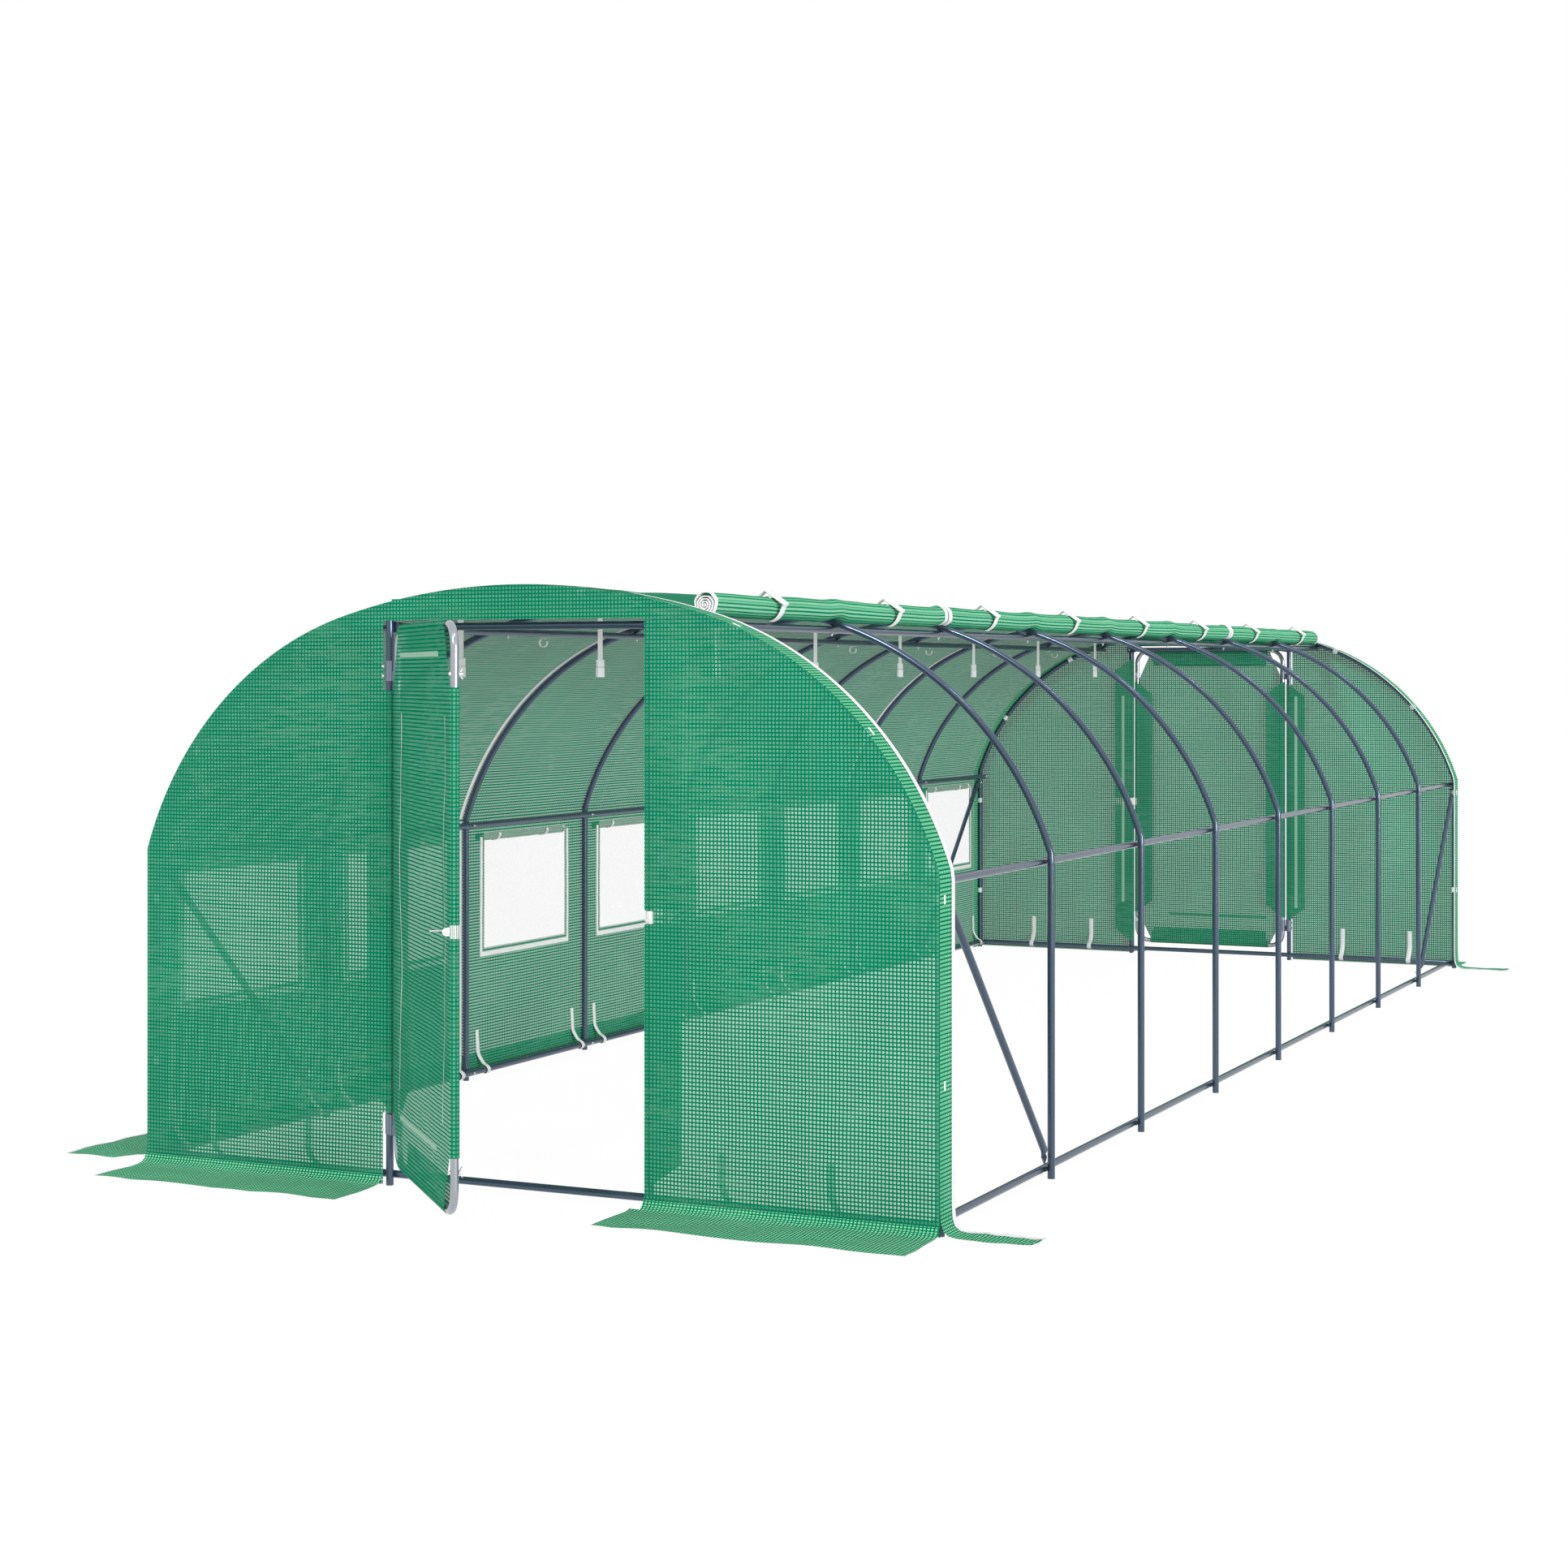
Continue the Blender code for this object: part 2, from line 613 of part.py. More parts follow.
def door_frame(name, parent, steel):
    """Bent tube frame of a door, a closed loop with round corners."""
    curve = bpy.data.curves.new(name, "CURVE")
    curve.dimensions = "3D"
    curve.bevel_depth = R
    curve.bevel_resolution = 2
    spline = curve.splines.new("POLY")
    path = rounded_frame_path()
    spline.points.add(len(path) - 1)
    for point, (x, z) in zip(spline.points, path):
        point.co = (x, HINGE_AXIS_OUT, z, 1.0)
    spline.use_cyclic_u = True
    return place(bpy.data.objects.new(name, curve), steel, parent)


def door_sheet(name, parent, green):
    """The door's sheet: one outer layer whose edges fold round the frame tubes and back inside."""
    near = STILE_X_FROM_AXIS
    far = FREE_STILE_X
    y0 = HINGE_AXIS_OUT
    across = [(near + FLAP_W, y0 + SLEEVE_R)]
    for k in range(ARC_STEPS + 1):
        a = math.pi / 2 + math.pi * k / ARC_STEPS
        across.append((near + SLEEVE_R * math.cos(a), y0 + SLEEVE_R * math.sin(a)))
    for k in range(ARC_STEPS + 1):
        a = -math.pi / 2 + math.pi * k / ARC_STEPS
        across.append((far + SLEEVE_R * math.cos(a), y0 + SLEEVE_R * math.sin(a)))
    across.append((far - FLAP_W, y0 + SLEEVE_R))
    rows = [[(x, y, z) for x, y in across] for z in (DOOR_SLEEVE_LOW_Z, DOOR_SLEEVE_HIGH_Z)]
    obj = strip(name, rows)
    up = [(y0 + SLEEVE_R, DOOR_BOTTOM_Z + DOOR_FLAP_H)]
    for k in range(ARC_STEPS + 1):
        a = math.pi * k / ARC_STEPS
        up.append((y0 + SLEEVE_R * math.cos(a), DOOR_BOTTOM_Z - SLEEVE_R * math.sin(a)))
    for k in range(ARC_STEPS + 1):
        a = math.pi * k / ARC_STEPS
        up.append((y0 - SLEEVE_R * math.cos(a), DOOR_TOP_Z + SLEEVE_R * math.sin(a)))
    up.append((y0 + SLEEVE_R, DOOR_TOP_Z - DOOR_FLAP_H))
    ends = (near + DOOR_SHEET_CORNER, far - DOOR_SHEET_CORNER)
    rows = [[(x, y, z) for y, z in up] for x in ends]
    boolean(obj, strip(name + "_upright_wrap", rows, DOOR_WRAP_T), "UNION")
    boolean(obj, latch_notch(name, far, y0), "DIFFERENCE")
    return place(obj, green, parent)


def latch_notch(name, x, y):
    """Guide for the slot in a sleeve where a latch clamp grips the bare tube."""
    bm = bmesh.new()
    reach = CLAMP_OUT + LATCH_NOTCH
    rise = LATCH_H / 2 + LATCH_NOTCH
    add_box(bm, (x - reach, y - reach, LATCH_Z - rise), (x + reach, y + reach, LATCH_Z + rise))
    return mesh_object(name + "_latch_notch", bm)


def hinge_leaf(name, z, centre, upper, steel, parent):
    """One hinge leaf: a band round its tube, an arm and half of the barrel.

    centre is the tube's centre seen from the hinge axis. The upper half carries the pin, and the
    lower half has the bore that turns on it.
    """
    sides = BAND_SIDES
    half = HINGE_H / 2
    low, high = (z + GAP / 2, z + half) if upper else (z - half, z - GAP / 2)
    cx, cy = centre
    bm = bmesh.new()
    add_rod(bm, (cx, cy, z - half), (cx, cy, z + half), BAND_R + BAND_T, sides)
    obj = mesh_object(name, bm)
    arm = bmesh.new()
    reach = math.hypot(cx, cy)
    verts = add_box(arm, (0, -HINGE_ARM_T / 2, low), (reach - BAND_R - BAND_T / 2, HINGE_ARM_T / 2, high))
    bmesh.ops.rotate(arm, verts=verts, cent=(0, 0, 0), matrix=Matrix.Rotation(math.atan2(cy, cx), 3, "Z"))
    boolean(obj, mesh_object(name + "_arm", arm), "UNION")
    barrel = bmesh.new()
    add_rod(barrel, (0, 0, low), (0, 0, high), BARREL_R, sides)
    boolean(obj, mesh_object(name + "_barrel", barrel), "UNION")
    bore = bmesh.new()
    add_rod(bore, (cx, cy, z - HINGE_H), (cx, cy, z + HINGE_H), BAND_R, sides)
    if upper:
        pin = bmesh.new()
        add_rod(pin, (0, 0, z - half + BAND_T), (0, 0, z + half / 2), HINGE_PIN_R, 12)
        boolean(obj, mesh_object(name + "_pin", pin), "UNION")
    else:
        add_rod(bore, (0, 0, z - HINGE_H), (0, 0, z + HINGE_H), HINGE_PIN_R + HINGE_PIN_PLAY, 12)
    boolean(obj, mesh_object(name + "_bore", bore), "DIFFERENCE")
    return place(obj, steel, parent)


def clamp(name, centre, nose_y, mat, parent):
    """Latch clamp: a band round a bare tube, with a half-round tongue whose hole is at nose_y."""
    sides = BAND_SIDES
    cx, cy = centre
    bm = bmesh.new()
    add_rod(bm, (cx, cy, LATCH_Z - LATCH_H / 2), (cx, cy, LATCH_Z + LATCH_H / 2), CLAMP_OUT, sides)
    obj = mesh_object(name, bm)
    tongue = bmesh.new()
    add_box(tongue, (cx - TONGUE_T / 2, nose_y, LATCH_Z - TONGUE_H / 2),
            (cx + TONGUE_T / 2, cy - BAND_R - BAND_T / 2, LATCH_Z + TONGUE_H / 2))
    boolean(obj, mesh_object(name + "_tongue", tongue), "UNION")
    nose = bmesh.new()
    add_rod(nose, (cx - TONGUE_T / 2, nose_y, LATCH_Z), (cx + TONGUE_T / 2, nose_y, LATCH_Z),
            TONGUE_H / 2, sides)
    boolean(obj, mesh_object(name + "_nose", nose), "UNION")
    bore = bmesh.new()
    add_rod(bore, (cx, cy, LATCH_Z - LATCH_H), (cx, cy, LATCH_Z + LATCH_H), BAND_R, sides)
    add_rod(bore, (cx - LATCH_H, nose_y, LATCH_Z), (cx + LATCH_H, nose_y, LATCH_Z), PIN_R + PIN_PLAY, 12)
    boolean(obj, mesh_object(name + "_bore", bore), "DIFFERENCE")
    return place(obj, mat, parent)


def latch_pin(name, y, steel, parent):
    """Sliding latch pin: a straight rod through the tongue, bent out into a short handle."""
    far = FREE_STILE_X
    tip = far + PIN_TIP_OUT
    bend_x = tip - PIN_LEN
    points = [(tip, y, LATCH_Z), (bend_x + PIN_BEND_R, y, LATCH_Z)]
    for k in range(1, 4):
        a = math.pi / 2 * k / 3
        points.append((bend_x + PIN_BEND_R * (1 - math.sin(a)), y - PIN_BEND_R * (1 - math.cos(a)), LATCH_Z))
    points.append((bend_x, y - PIN_HANDLE, LATCH_Z))
    return tube(name, points, PIN_R, steel, parent)


def doors(galvanised, green, coated, steel):
    """Both doors with hinges and latches. The front one stands open, and the rear one is shut."""
    for end, word in ((-1, "front"), (1, "rear")):
        turn = 0.0 if end < 0 else 180.0
        open_deg = FRONT_OPEN_DEG if end < 0 else 0.0
        axis = (end * AXIS_X, end * (END_Y + AXIS_OUT), 0.0)
        carrier = empty(f"{word}_door_axis", axis, turn - open_deg, bpy.data.objects[DATUM])
        fixed = empty(f"{word}_post_datum", axis, turn, bpy.data.objects[DATUM])
        door_frame(f"{word}_door_frame", carrier, galvanised)
        door_sheet(f"{word}_door_sheet", carrier, green)
        post = (AXIS_X - POST_X, AXIS_OUT - POST_OUT)
        stile = (STILE_X_FROM_AXIS, HINGE_AXIS_OUT)
        for z, level in ((HINGE_LOW_Z, "lower"), (HINGE_HIGH_Z, "upper")):
            hinge_leaf(f"{word}_{level}_hinge_post_leaf", z, post, True, steel, fixed)
            hinge_leaf(f"{word}_{level}_hinge_door_leaf", z, stile, False, steel, carrier)
        clamp(f"{word}_latch_clamp", (FREE_STILE_X, HINGE_AXIS_OUT), PIN_Y, coated, carrier)
        latch_pin(f"{word}_latch_pin", PIN_Y, steel, carrier)
        clamp(f"{word}_latch_keeper", (AXIS_X + POST_X, AXIS_OUT - POST_OUT), PIN_Y, coated, fixed)


def build():
    """Make the whole polytunnel."""
    clear_scene()
    empty(DATUM, (0.0, DATUM_Y, 0.0))
    steel = material("blue_grey_coated_steel", (0.105, 0.150, 0.215), 0.35, 0.85)
    galvanised = material("galvanised_steel", (0.62, 0.63, 0.67), 0.28, 0.95)
    green = material("green_grid_sheet", (0.010, 0.275, 0.105), 0.45)
    white = material("white_webbing", (0.82, 0.82, 0.82), 0.7)
    coated = material("white_coated_steel", (0.80, 0.80, 0.79), 0.4)
    zinc = material("zinc_plated_steel", (0.75, 0.76, 0.78), 0.3, 0.9)
    frame(steel)
    edges = (0, *JOINTS, BAYS)
    for first, last, word in zip(edges, edges[1:], ("front", "middle", "rear")):
        cover_section(f"cover_{word}", first, last, green)
    end_panel("front_panel", -1, green)
    end_panel("rear_panel", 1, green)
    for index in range(BAYS):
        strap_loop(f"roll_strap_{index + 1}", -HALF_LENGTH + BAY * (index + 0.5), white)
    doors(galvanised, green, coated, zinc)


build()
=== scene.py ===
# %% [markdown]
# # A walk-in polytunnel, piece by piece
#
# The construction comes ready made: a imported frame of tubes, rails, doors and plain sheets at their real
# size. This lesson gives each of them its looks. The frame is loaded first, because every later cell takes
# its places from it and moves nothing in it.

# %% Load the frame
import json
import math

import bpy
import numpy as np
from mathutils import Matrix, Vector


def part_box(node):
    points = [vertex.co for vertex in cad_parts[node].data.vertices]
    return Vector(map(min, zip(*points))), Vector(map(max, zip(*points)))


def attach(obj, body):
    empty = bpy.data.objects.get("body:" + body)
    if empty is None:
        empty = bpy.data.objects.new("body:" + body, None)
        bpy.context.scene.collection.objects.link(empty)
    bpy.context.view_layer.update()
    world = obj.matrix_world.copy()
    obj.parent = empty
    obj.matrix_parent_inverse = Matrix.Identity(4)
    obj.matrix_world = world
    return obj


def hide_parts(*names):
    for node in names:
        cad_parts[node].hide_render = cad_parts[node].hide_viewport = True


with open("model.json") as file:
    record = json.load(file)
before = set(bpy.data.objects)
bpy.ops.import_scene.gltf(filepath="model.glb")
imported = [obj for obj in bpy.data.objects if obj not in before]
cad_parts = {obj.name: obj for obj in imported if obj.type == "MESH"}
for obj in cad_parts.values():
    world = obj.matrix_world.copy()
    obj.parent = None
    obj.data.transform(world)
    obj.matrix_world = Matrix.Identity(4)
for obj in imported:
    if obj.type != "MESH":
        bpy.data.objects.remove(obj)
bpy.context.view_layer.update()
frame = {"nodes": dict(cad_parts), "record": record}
print("frame loaded:", len(frame["nodes"]), "nodes")

# %% [markdown]
# ## Sizes that the frame gives
#
# A hoop's box holds its tube radius, its width and its height, and the nine boxes give the bays. Reading
# them here keeps the looks in step with the construction. The few sizes that a box can't tell are stated as
# values of their own. LEAN is the angle at which the bow leaves the legs, and JOIN the one at which its top
# arc meets its side arcs. SHEET_OUT is how far the film lies outside the tubes' middle line, and FACE_OUT and
# POST_OUT are distances from the middle of the tunnel to an end's face and to its door posts.

# %% Read the sizes
hoop_low, hoop_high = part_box("hoop_1")
TUBE_R = (hoop_high.y - hoop_low.y) / 2
HALF_WIDTH = hoop_high.x - TUBE_R
APEX_Z = hoop_high.z - TUBE_R
HOOP_Y = np.array([sum(corner.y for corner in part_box(f"hoop_{k}")) / 2 for k in range(1, 10)])
BAY_Y = (HOOP_Y[:-1] + HOOP_Y[1:]) / 2
MID_Y = (HOOP_Y[0] + HOOP_Y[-1]) / 2
HALF_LENGTH = (HOOP_Y[-1] - HOOP_Y[0]) / 2
BAY = HOOP_Y[1] - HOOP_Y[0]
EAVES_Z = 1.079
LEAN = math.radians(17.5)
JOIN = math.radians(16.333)
SHEET_OUT = 0.0138
FACE_OUT = 4.0394
POST_X = 0.484
POST_OUT = 4.0253
LINTEL_Z = 1.835
ENDS = ((-1, "front"), (1, "rear"))
SIDES = ((-1, "left"), (1, "right"))
print("tube", round(2 * TUBE_R * 1000, 1), "mm, bay", round(BAY, 3), "m")

# %% [markdown]
# ## Camera
#
# The product picture was taken from in front and to the right, at a person's shoulder height, with a long
# lens. The camera stands almost level, and a small vertical shift keeps the uprights parallel, as an
# architect's lens does.

# %% Place the camera
camera_data = bpy.data.cameras.new("camera")
camera_data.lens = 60.48
camera_data.sensor_width = 36.0
camera_data.shift_y = -0.0723
camera_data.clip_end = 100.0
camera = bpy.data.objects.new("camera", camera_data)
camera.location = (4.3502, -11.1350, 1.6708)
camera.rotation_euler = (math.radians(90.137), 0.0, math.radians(24.979))
bpy.context.scene.collection.objects.link(camera)
bpy.context.scene.camera = camera
print("camera", round(camera.location.length, 1), "m away, lens", round(camera_data.lens, 1), "mm")

# %% [markdown]
# ## Small helpers for shaders
#
# Material trees get long, so one helper adds a node with its settings and inputs in a line, and others do so
# for the sums, ramps and blends that come up most. Colours are written as they look on a screen and turned
# into linear light here.

# %% Shader helpers
def srgb(red, green, blue):
    """Linear colour of a screen colour given as 0 to 255."""
    share = np.array([red, green, blue]) / 255
    linear = np.where(share <= 0.04045, share / 12.92, ((share + 0.055) / 1.055) ** 2.4)
    return (*linear.tolist(), 1.0)


def feed(tree, node, inputs):
    """Give a node's inputs values or links, by their names or numbers."""
    for key, value in inputs.items():
        if isinstance(value, bpy.types.NodeSocket):
            tree.links.new(value, node.inputs[key])
        else:
            node.inputs[key].default_value = value
    return node


def put(tree, kind, inputs=None, **settings):
    """Add a node, set its properties and feed its inputs."""
    made = tree.nodes.new(kind)
    for key, value in settings.items():
        setattr(made, key, value)
    return feed(tree, made, inputs or {})


def calc(tree, operation, first, second=0.0, third=0.0):
    """Output of one Math node."""
    return put(tree, "ShaderNodeMath", {0: first, 1: second, 2: third}, operation=operation).outputs[0]


def ramp(tree, value, start, end, first=0.0, last=1.0, smooth=True):
    """Output of one Map Range node: first at start, last at end, with a smooth or a straight way between."""
    inputs = {"Value": value, "From Min": start, "From Max": end, "To Min": first, "To Max": last}
    way = "SMOOTHSTEP" if smooth else "LINEAR"
    return put(tree, "ShaderNodeMapRange", inputs, interpolation_type=way).outputs[0]


def blend_colour(tree, share, first, second):
    """Output of one colour Mix node, from first to second by share. Its colours are inputs 6 and 7."""
    made = put(tree, "ShaderNodeMix", data_type="RGBA")
    return feed(tree, made, {"Factor": share, 6: first, 7: second}).outputs[2]


print("mid grey of a screen is", round(srgb(128, 128, 128)[0], 3), "in linear light")

# %% [markdown]
# A node group is a small tree with named sockets that several materials share, so that an effect is worked
# out once. `open_group` makes one and hands back its inner ends, and `use_group` places it in a material,
# where its inputs get values or links of their own.

# %% Node group helpers
def open_group(name, inputs, outputs):
    """A new node group, with its input sockets and output sockets."""
    tree = bpy.data.node_groups.new(name, "ShaderNodeTree")
    for label, kind, value in inputs:
        socket = tree.interface.new_socket(label, in_out="INPUT", socket_type=kind)
        if value is not None:
            socket.default_value = value
    for label, kind in outputs:
        tree.interface.new_socket(label, in_out="OUTPUT", socket_type=kind)
    return tree, tree.nodes.new("NodeGroupInput").outputs, tree.nodes.new("NodeGroupOutput").inputs


def use_group(tree, name, inputs):
    """Place a node group in a material with its own values, and give its outputs."""
    made = tree.nodes.new("ShaderNodeGroup")
    made.node_tree = bpy.data.node_groups[name]
    return feed(tree, made, inputs).outputs


print("node groups so far:", len(bpy.data.node_groups))

# %% [markdown]
# ## Floor
#
# The object stands in a white studio. A plain white floor would turn grey by its own shading, and more light
# on it would burn out the object. So the floor is mostly a white glow that only the camera and reflections
# see, and the rest of it stays a diffuse surface, which keeps the soft shadow.

# %% Make the floor
GLOW_SHARE = 0.93
FLOOR_GLOW = 1.035
FLOOR_GREY = 0.80
FLOOR_HALF = 60.0


def floor_material():
    """Diffuse white mixed with a white glow that only camera, glossy and clear rays see."""
    made = bpy.data.materials.new("studio_floor")
    made.use_nodes = True
    tree = made.node_tree
    tree.nodes.clear()
    rays = put(tree, "ShaderNodeLightPath").outputs
    seen = calc(tree, "MAXIMUM", rays["Is Camera Ray"], rays["Is Glossy Ray"])
    seen = calc(tree, "MAXIMUM", seen, rays["Is Transmission Ray"])
    diffuse = put(tree, "ShaderNodeBsdfDiffuse", {"Color": (FLOOR_GREY, FLOOR_GREY, FLOOR_GREY, 1)})
    glow = put(tree, "ShaderNodeEmission", {"Strength": FLOOR_GLOW})
    mixed = put(tree, "ShaderNodeMixShader",
                {0: calc(tree, "MULTIPLY", seen, GLOW_SHARE), 1: diffuse.outputs[0], 2: glow.outputs[0]})
    put(tree, "ShaderNodeOutputMaterial", {"Surface": mixed.outputs[0]})
    return made


floor_mesh = bpy.data.meshes.new("floor")
floor_corners = [(x * FLOOR_HALF, y * FLOOR_HALF, 0) for x, y in ((-1, -1), (1, -1), (1, 1), (-1, 1))]
floor_mesh.from_pydata(floor_corners, [], [(0, 1, 2, 3)])
floor = bpy.data.objects.new("floor", floor_mesh)
floor_mesh.materials.append(floor_material())
bpy.context.scene.collection.objects.link(floor)
print("floor", 2 * FLOOR_HALF, "m wide")

# %% [markdown]
# ## World and lamps
#
# The world is white and lights the object from all sides at a plain level. The camera and reflections see
# it as pure white, which a Light Path node tells apart. Three wide lamps add direction. One comes from the
# front. A low one comes in through the open right side, lights the inside of the left wall and draws a white
# line down every upright tube. A small one from above draws the same line along the bows.

# %% Make the world and the lamps
WORLD_STRENGTH = 0.62
world = bpy.data.worlds.new("white_studio")
world.use_nodes = True
world_tree = world.node_tree
background = world_tree.nodes["Background"]
background.inputs["Color"].default_value = (1, 1, 1, 1)
world_rays = put(world_tree, "ShaderNodeLightPath").outputs
world_seen = calc(world_tree, "MAXIMUM", world_rays["Is Camera Ray"], world_rays["Is Glossy Ray"])
world_power = put(world_tree, "ShaderNodeMix", {"Factor": world_seen, "A": WORLD_STRENGTH, "B": 1.0})
world_tree.links.new(world_power.outputs["Result"], background.inputs["Strength"])
bpy.context.scene.world = world
bpy.context.scene.view_settings.view_transform = "Standard"
bpy.context.scene.cycles.transparent_max_bounces = 24

# Each lamp has its power, its angle in degrees and the way that its light travels.
LAMPS = {"front_light": (1.3, 10, (0.15, 0.80, -0.55)), "side_light": (1.6, 14, (-0.90, 0.38, -0.07)),
         "crown_light": (0.35, 6, (-0.42, 0.28, -0.84))}
for name, (energy, angle_deg, travel) in LAMPS.items():
    lamp_data = bpy.data.lights.new(name, "SUN")
    lamp_data.energy = energy
    lamp_data.angle = math.radians(angle_deg)
    lamp = bpy.data.objects.new(name, lamp_data)
    lamp.rotation_euler = Vector(travel).to_track_quat("-Z", "Y").to_euler()
    bpy.context.scene.collection.objects.link(lamp)
print("lamps:", ", ".join(LAMPS))

# %% [markdown]
# ## The reinforcing grid
#
# The sheet is a film with green tapes woven through it, about 12.5 mm apart, so it shows small clear
# windows with round corners. The pattern follows the cut of the sheet: every sheet carries a UV map in
# metres of flat material, and the group folds that map into single squares. The distance from a square's
# middle is a power mean of the two directions, which rounds the corners.

# %% Node group: reinforcing grid
FLOAT, VECTOR = "NodeSocketFloat", "NodeSocketVector"
tree, given, result = open_group("reinforcing_grid",
                                 [("Cut", VECTOR, None), ("Pitch", FLOAT, 0.0125),
                                  ("Film share", FLOAT, 0.62), ("Softness", FLOAT, 0.05)],
                                 [("Threads", FLOAT), ("Height", FLOAT)])
CORNER_POWER = 5.0
RIB_TURNS, RIB_HEIGHT = 9.0, 0.2
squares = calc(tree, "DIVIDE", 1.0, given["Pitch"])
scaled = put(tree, "ShaderNodeVectorMath", {0: given["Cut"], "Scale": squares}, operation="SCALE")
parts = put(tree, "ShaderNodeSeparateXYZ", {0: scaled.outputs[0]}).outputs
powers = []
for axis in "XY":
    within = calc(tree, "SUBTRACT", calc(tree, "FRACT", parts[axis]), 0.5)
    off_middle = calc(tree, "MULTIPLY", calc(tree, "ABSOLUTE", within), 2.0)
    powers.append(calc(tree, "POWER", off_middle, CORNER_POWER))
reach = calc(tree, "POWER", calc(tree, "ADD", *powers), 1 / CORNER_POWER)
threads = ramp(tree, reach, calc(tree, "SUBTRACT", given["Film share"], given["Softness"]),
               calc(tree, "ADD", given["Film share"], given["Softness"]))
tree.links.new(threads, result["Threads"])
ribs = calc(tree, "SINE", calc(tree, "MULTIPLY", reach, RIB_TURNS))
tree.links.new(calc(tree, "MULTIPLY_ADD", ribs, RIB_HEIGHT, threads), result["Height"])
print("node group:", tree.name)

# %% [markdown]
# ## Folds and crinkles
#
# Film that comes out of a carton keeps the straight lines of its folding, about 0.4 m apart, and it is
# crinkled all over in short lines that run along the weave. The crinkles are the ridges of a noise that is
# stretched along the cut, so they turn with the sheet. The folds make the film paler, the crinkle ridges
# carry a painted highlight, and both stand up a little.

# %% Node group: folds and crinkles
tree, given, result = open_group("folds_and_crinkles",
                                 [("Cut", VECTOR, None), ("Fold spacing", FLOAT, 0.42),
                                  ("Fold width", FLOAT, 0.010)],
                                 [("Pale folds and highlights", FLOAT), ("Height", FLOAT)])
CRINKLE_STRETCH, CRINKLE_WIDTH = (5.0, 34.0, 1.0), 0.16
# The first value is the share of painted highlight on the crinkle ridges, the second that of the paler folds.
CRINKLE_HIGHLIGHT, FOLD_SHARE, FOLD_HEIGHT = 0.8, 0.30, 0.25
CRINKLE_BEND, FOLD_BEND = 0.05, 0.02
PATCHES = (0.42, 0.62)
bend_noise = put(tree, "ShaderNodeTexNoise", {"Vector": given["Cut"], "Scale": 2.2, "Detail": 2.0})


def bent_cut(amount):
    """The cut's coordinates moved about by a slow noise: the cut plus the noise times amount."""
    inputs = {0: bend_noise.outputs["Color"], 1: (amount, amount, 0.0), 2: given["Cut"]}
    return put(tree, "ShaderNodeVectorMath", inputs, operation="MULTIPLY_ADD").outputs[0]


stretched = put(tree, "ShaderNodeMapping", {"Vector": bent_cut(CRINKLE_BEND), "Scale": CRINKLE_STRETCH})
crinkle = put(tree, "ShaderNodeTexNoise", {"Vector": stretched.outputs[0], "Scale": 1.0, "Detail": 3.0})
off_middle = calc(tree, "ABSOLUTE", calc(tree, "MULTIPLY_ADD", crinkle.outputs["Fac"], 2.0, -1.0))
ridge = ramp(tree, off_middle, 0.0, CRINKLE_WIDTH, 1.0, 0.0)
patchy = ramp(tree, bend_noise.outputs["Fac"], *PATCHES)
parts = put(tree, "ShaderNodeSeparateXYZ", {0: bent_cut(FOLD_BEND)}).outputs
fold_lines = []
for axis in "XY":
    cell = calc(tree, "FRACT", calc(tree, "DIVIDE", parts[axis], given["Fold spacing"]))
    off_line = calc(tree, "ABSOLUTE", calc(tree, "SUBTRACT", cell, 0.5))
    from_line = calc(tree, "MULTIPLY", off_line, given["Fold spacing"])
    fold_lines.append(ramp(tree, from_line, 0.0, given["Fold width"], 1.0, 0.0, smooth=False))
folds = calc(tree, "MAXIMUM", *fold_lines)
pale_folds = calc(tree, "MULTIPLY", folds, FOLD_SHARE)
# Pale fold lines, plus a painted highlight on the crinkle ridges in patches.
lines = calc(tree, "MULTIPLY_ADD", calc(tree, "MULTIPLY", ridge, patchy), CRINKLE_HIGHLIGHT, pale_folds)
tree.links.new(lines, result["Pale folds and highlights"])
tree.links.new(calc(tree, "MULTIPLY_ADD", folds, FOLD_HEIGHT, crinkle.outputs["Fac"]), result["Height"])
print("node group:", tree.name)

# %% [markdown]
# ## Uneven colour
#
# No real surface has one colour. This group makes a colour slightly lighter and darker in soft clouds and
# adds fine grain, and every material below uses it with its own strength.

# %% Node group: uneven colour
COLOUR = "NodeSocketColor"
tree, given, result = open_group("uneven_colour",
                                 [("Colour", COLOUR, None), ("Place", VECTOR, None),
                                  ("Cloud scale", FLOAT, 4.0), ("Grain scale", FLOAT, 300.0),
                                  ("Strength", FLOAT, 0.12)],
                                 [("Colour", COLOUR), ("Grain", FLOAT)])
GRAIN_SHARE, CLOUD_SHARE = 0.35, 0.65
clouds, grain = (put(tree, "ShaderNodeTexNoise", {"Vector": given["Place"], "Scale": given[scale],
                                                  "Detail": detail}).outputs["Fac"]
                 for scale, detail in (("Cloud scale", 4.0), ("Grain scale", 2.0)))
mean = calc(tree, "MULTIPLY_ADD", grain, GRAIN_SHARE, calc(tree, "MULTIPLY", clouds, CLOUD_SHARE))
swing = calc(tree, "MULTIPLY", calc(tree, "SUBTRACT", mean, 0.5), given["Strength"])
level = calc(tree, "MULTIPLY_ADD", swing, 4.0, 1.0)
lit = put(tree, "ShaderNodeVectorMath", {0: given["Colour"], "Scale": level}, operation="SCALE")
tree.links.new(lit.outputs[0], result["Colour"])
tree.links.new(grain, result["Grain"])
print("node group:", tree.name)

# %% [markdown]
# ## Materials of the sheets
#
# Every material starts from a Principled shader and ends in a bump. It reads one or both of two maps: the
# flat cut of the sheet, which follows the surface, and the place in the object.

# %% Material helpers
def cut_map(tree):
    """The sheet's own flat map, in metres of material."""
    return put(tree, "ShaderNodeUVMap", uv_map="cut").outputs[0]


def object_place(tree):
    """The place in the object's own coordinates."""
    return put(tree, "ShaderNodeTexCoord").outputs["Object"]


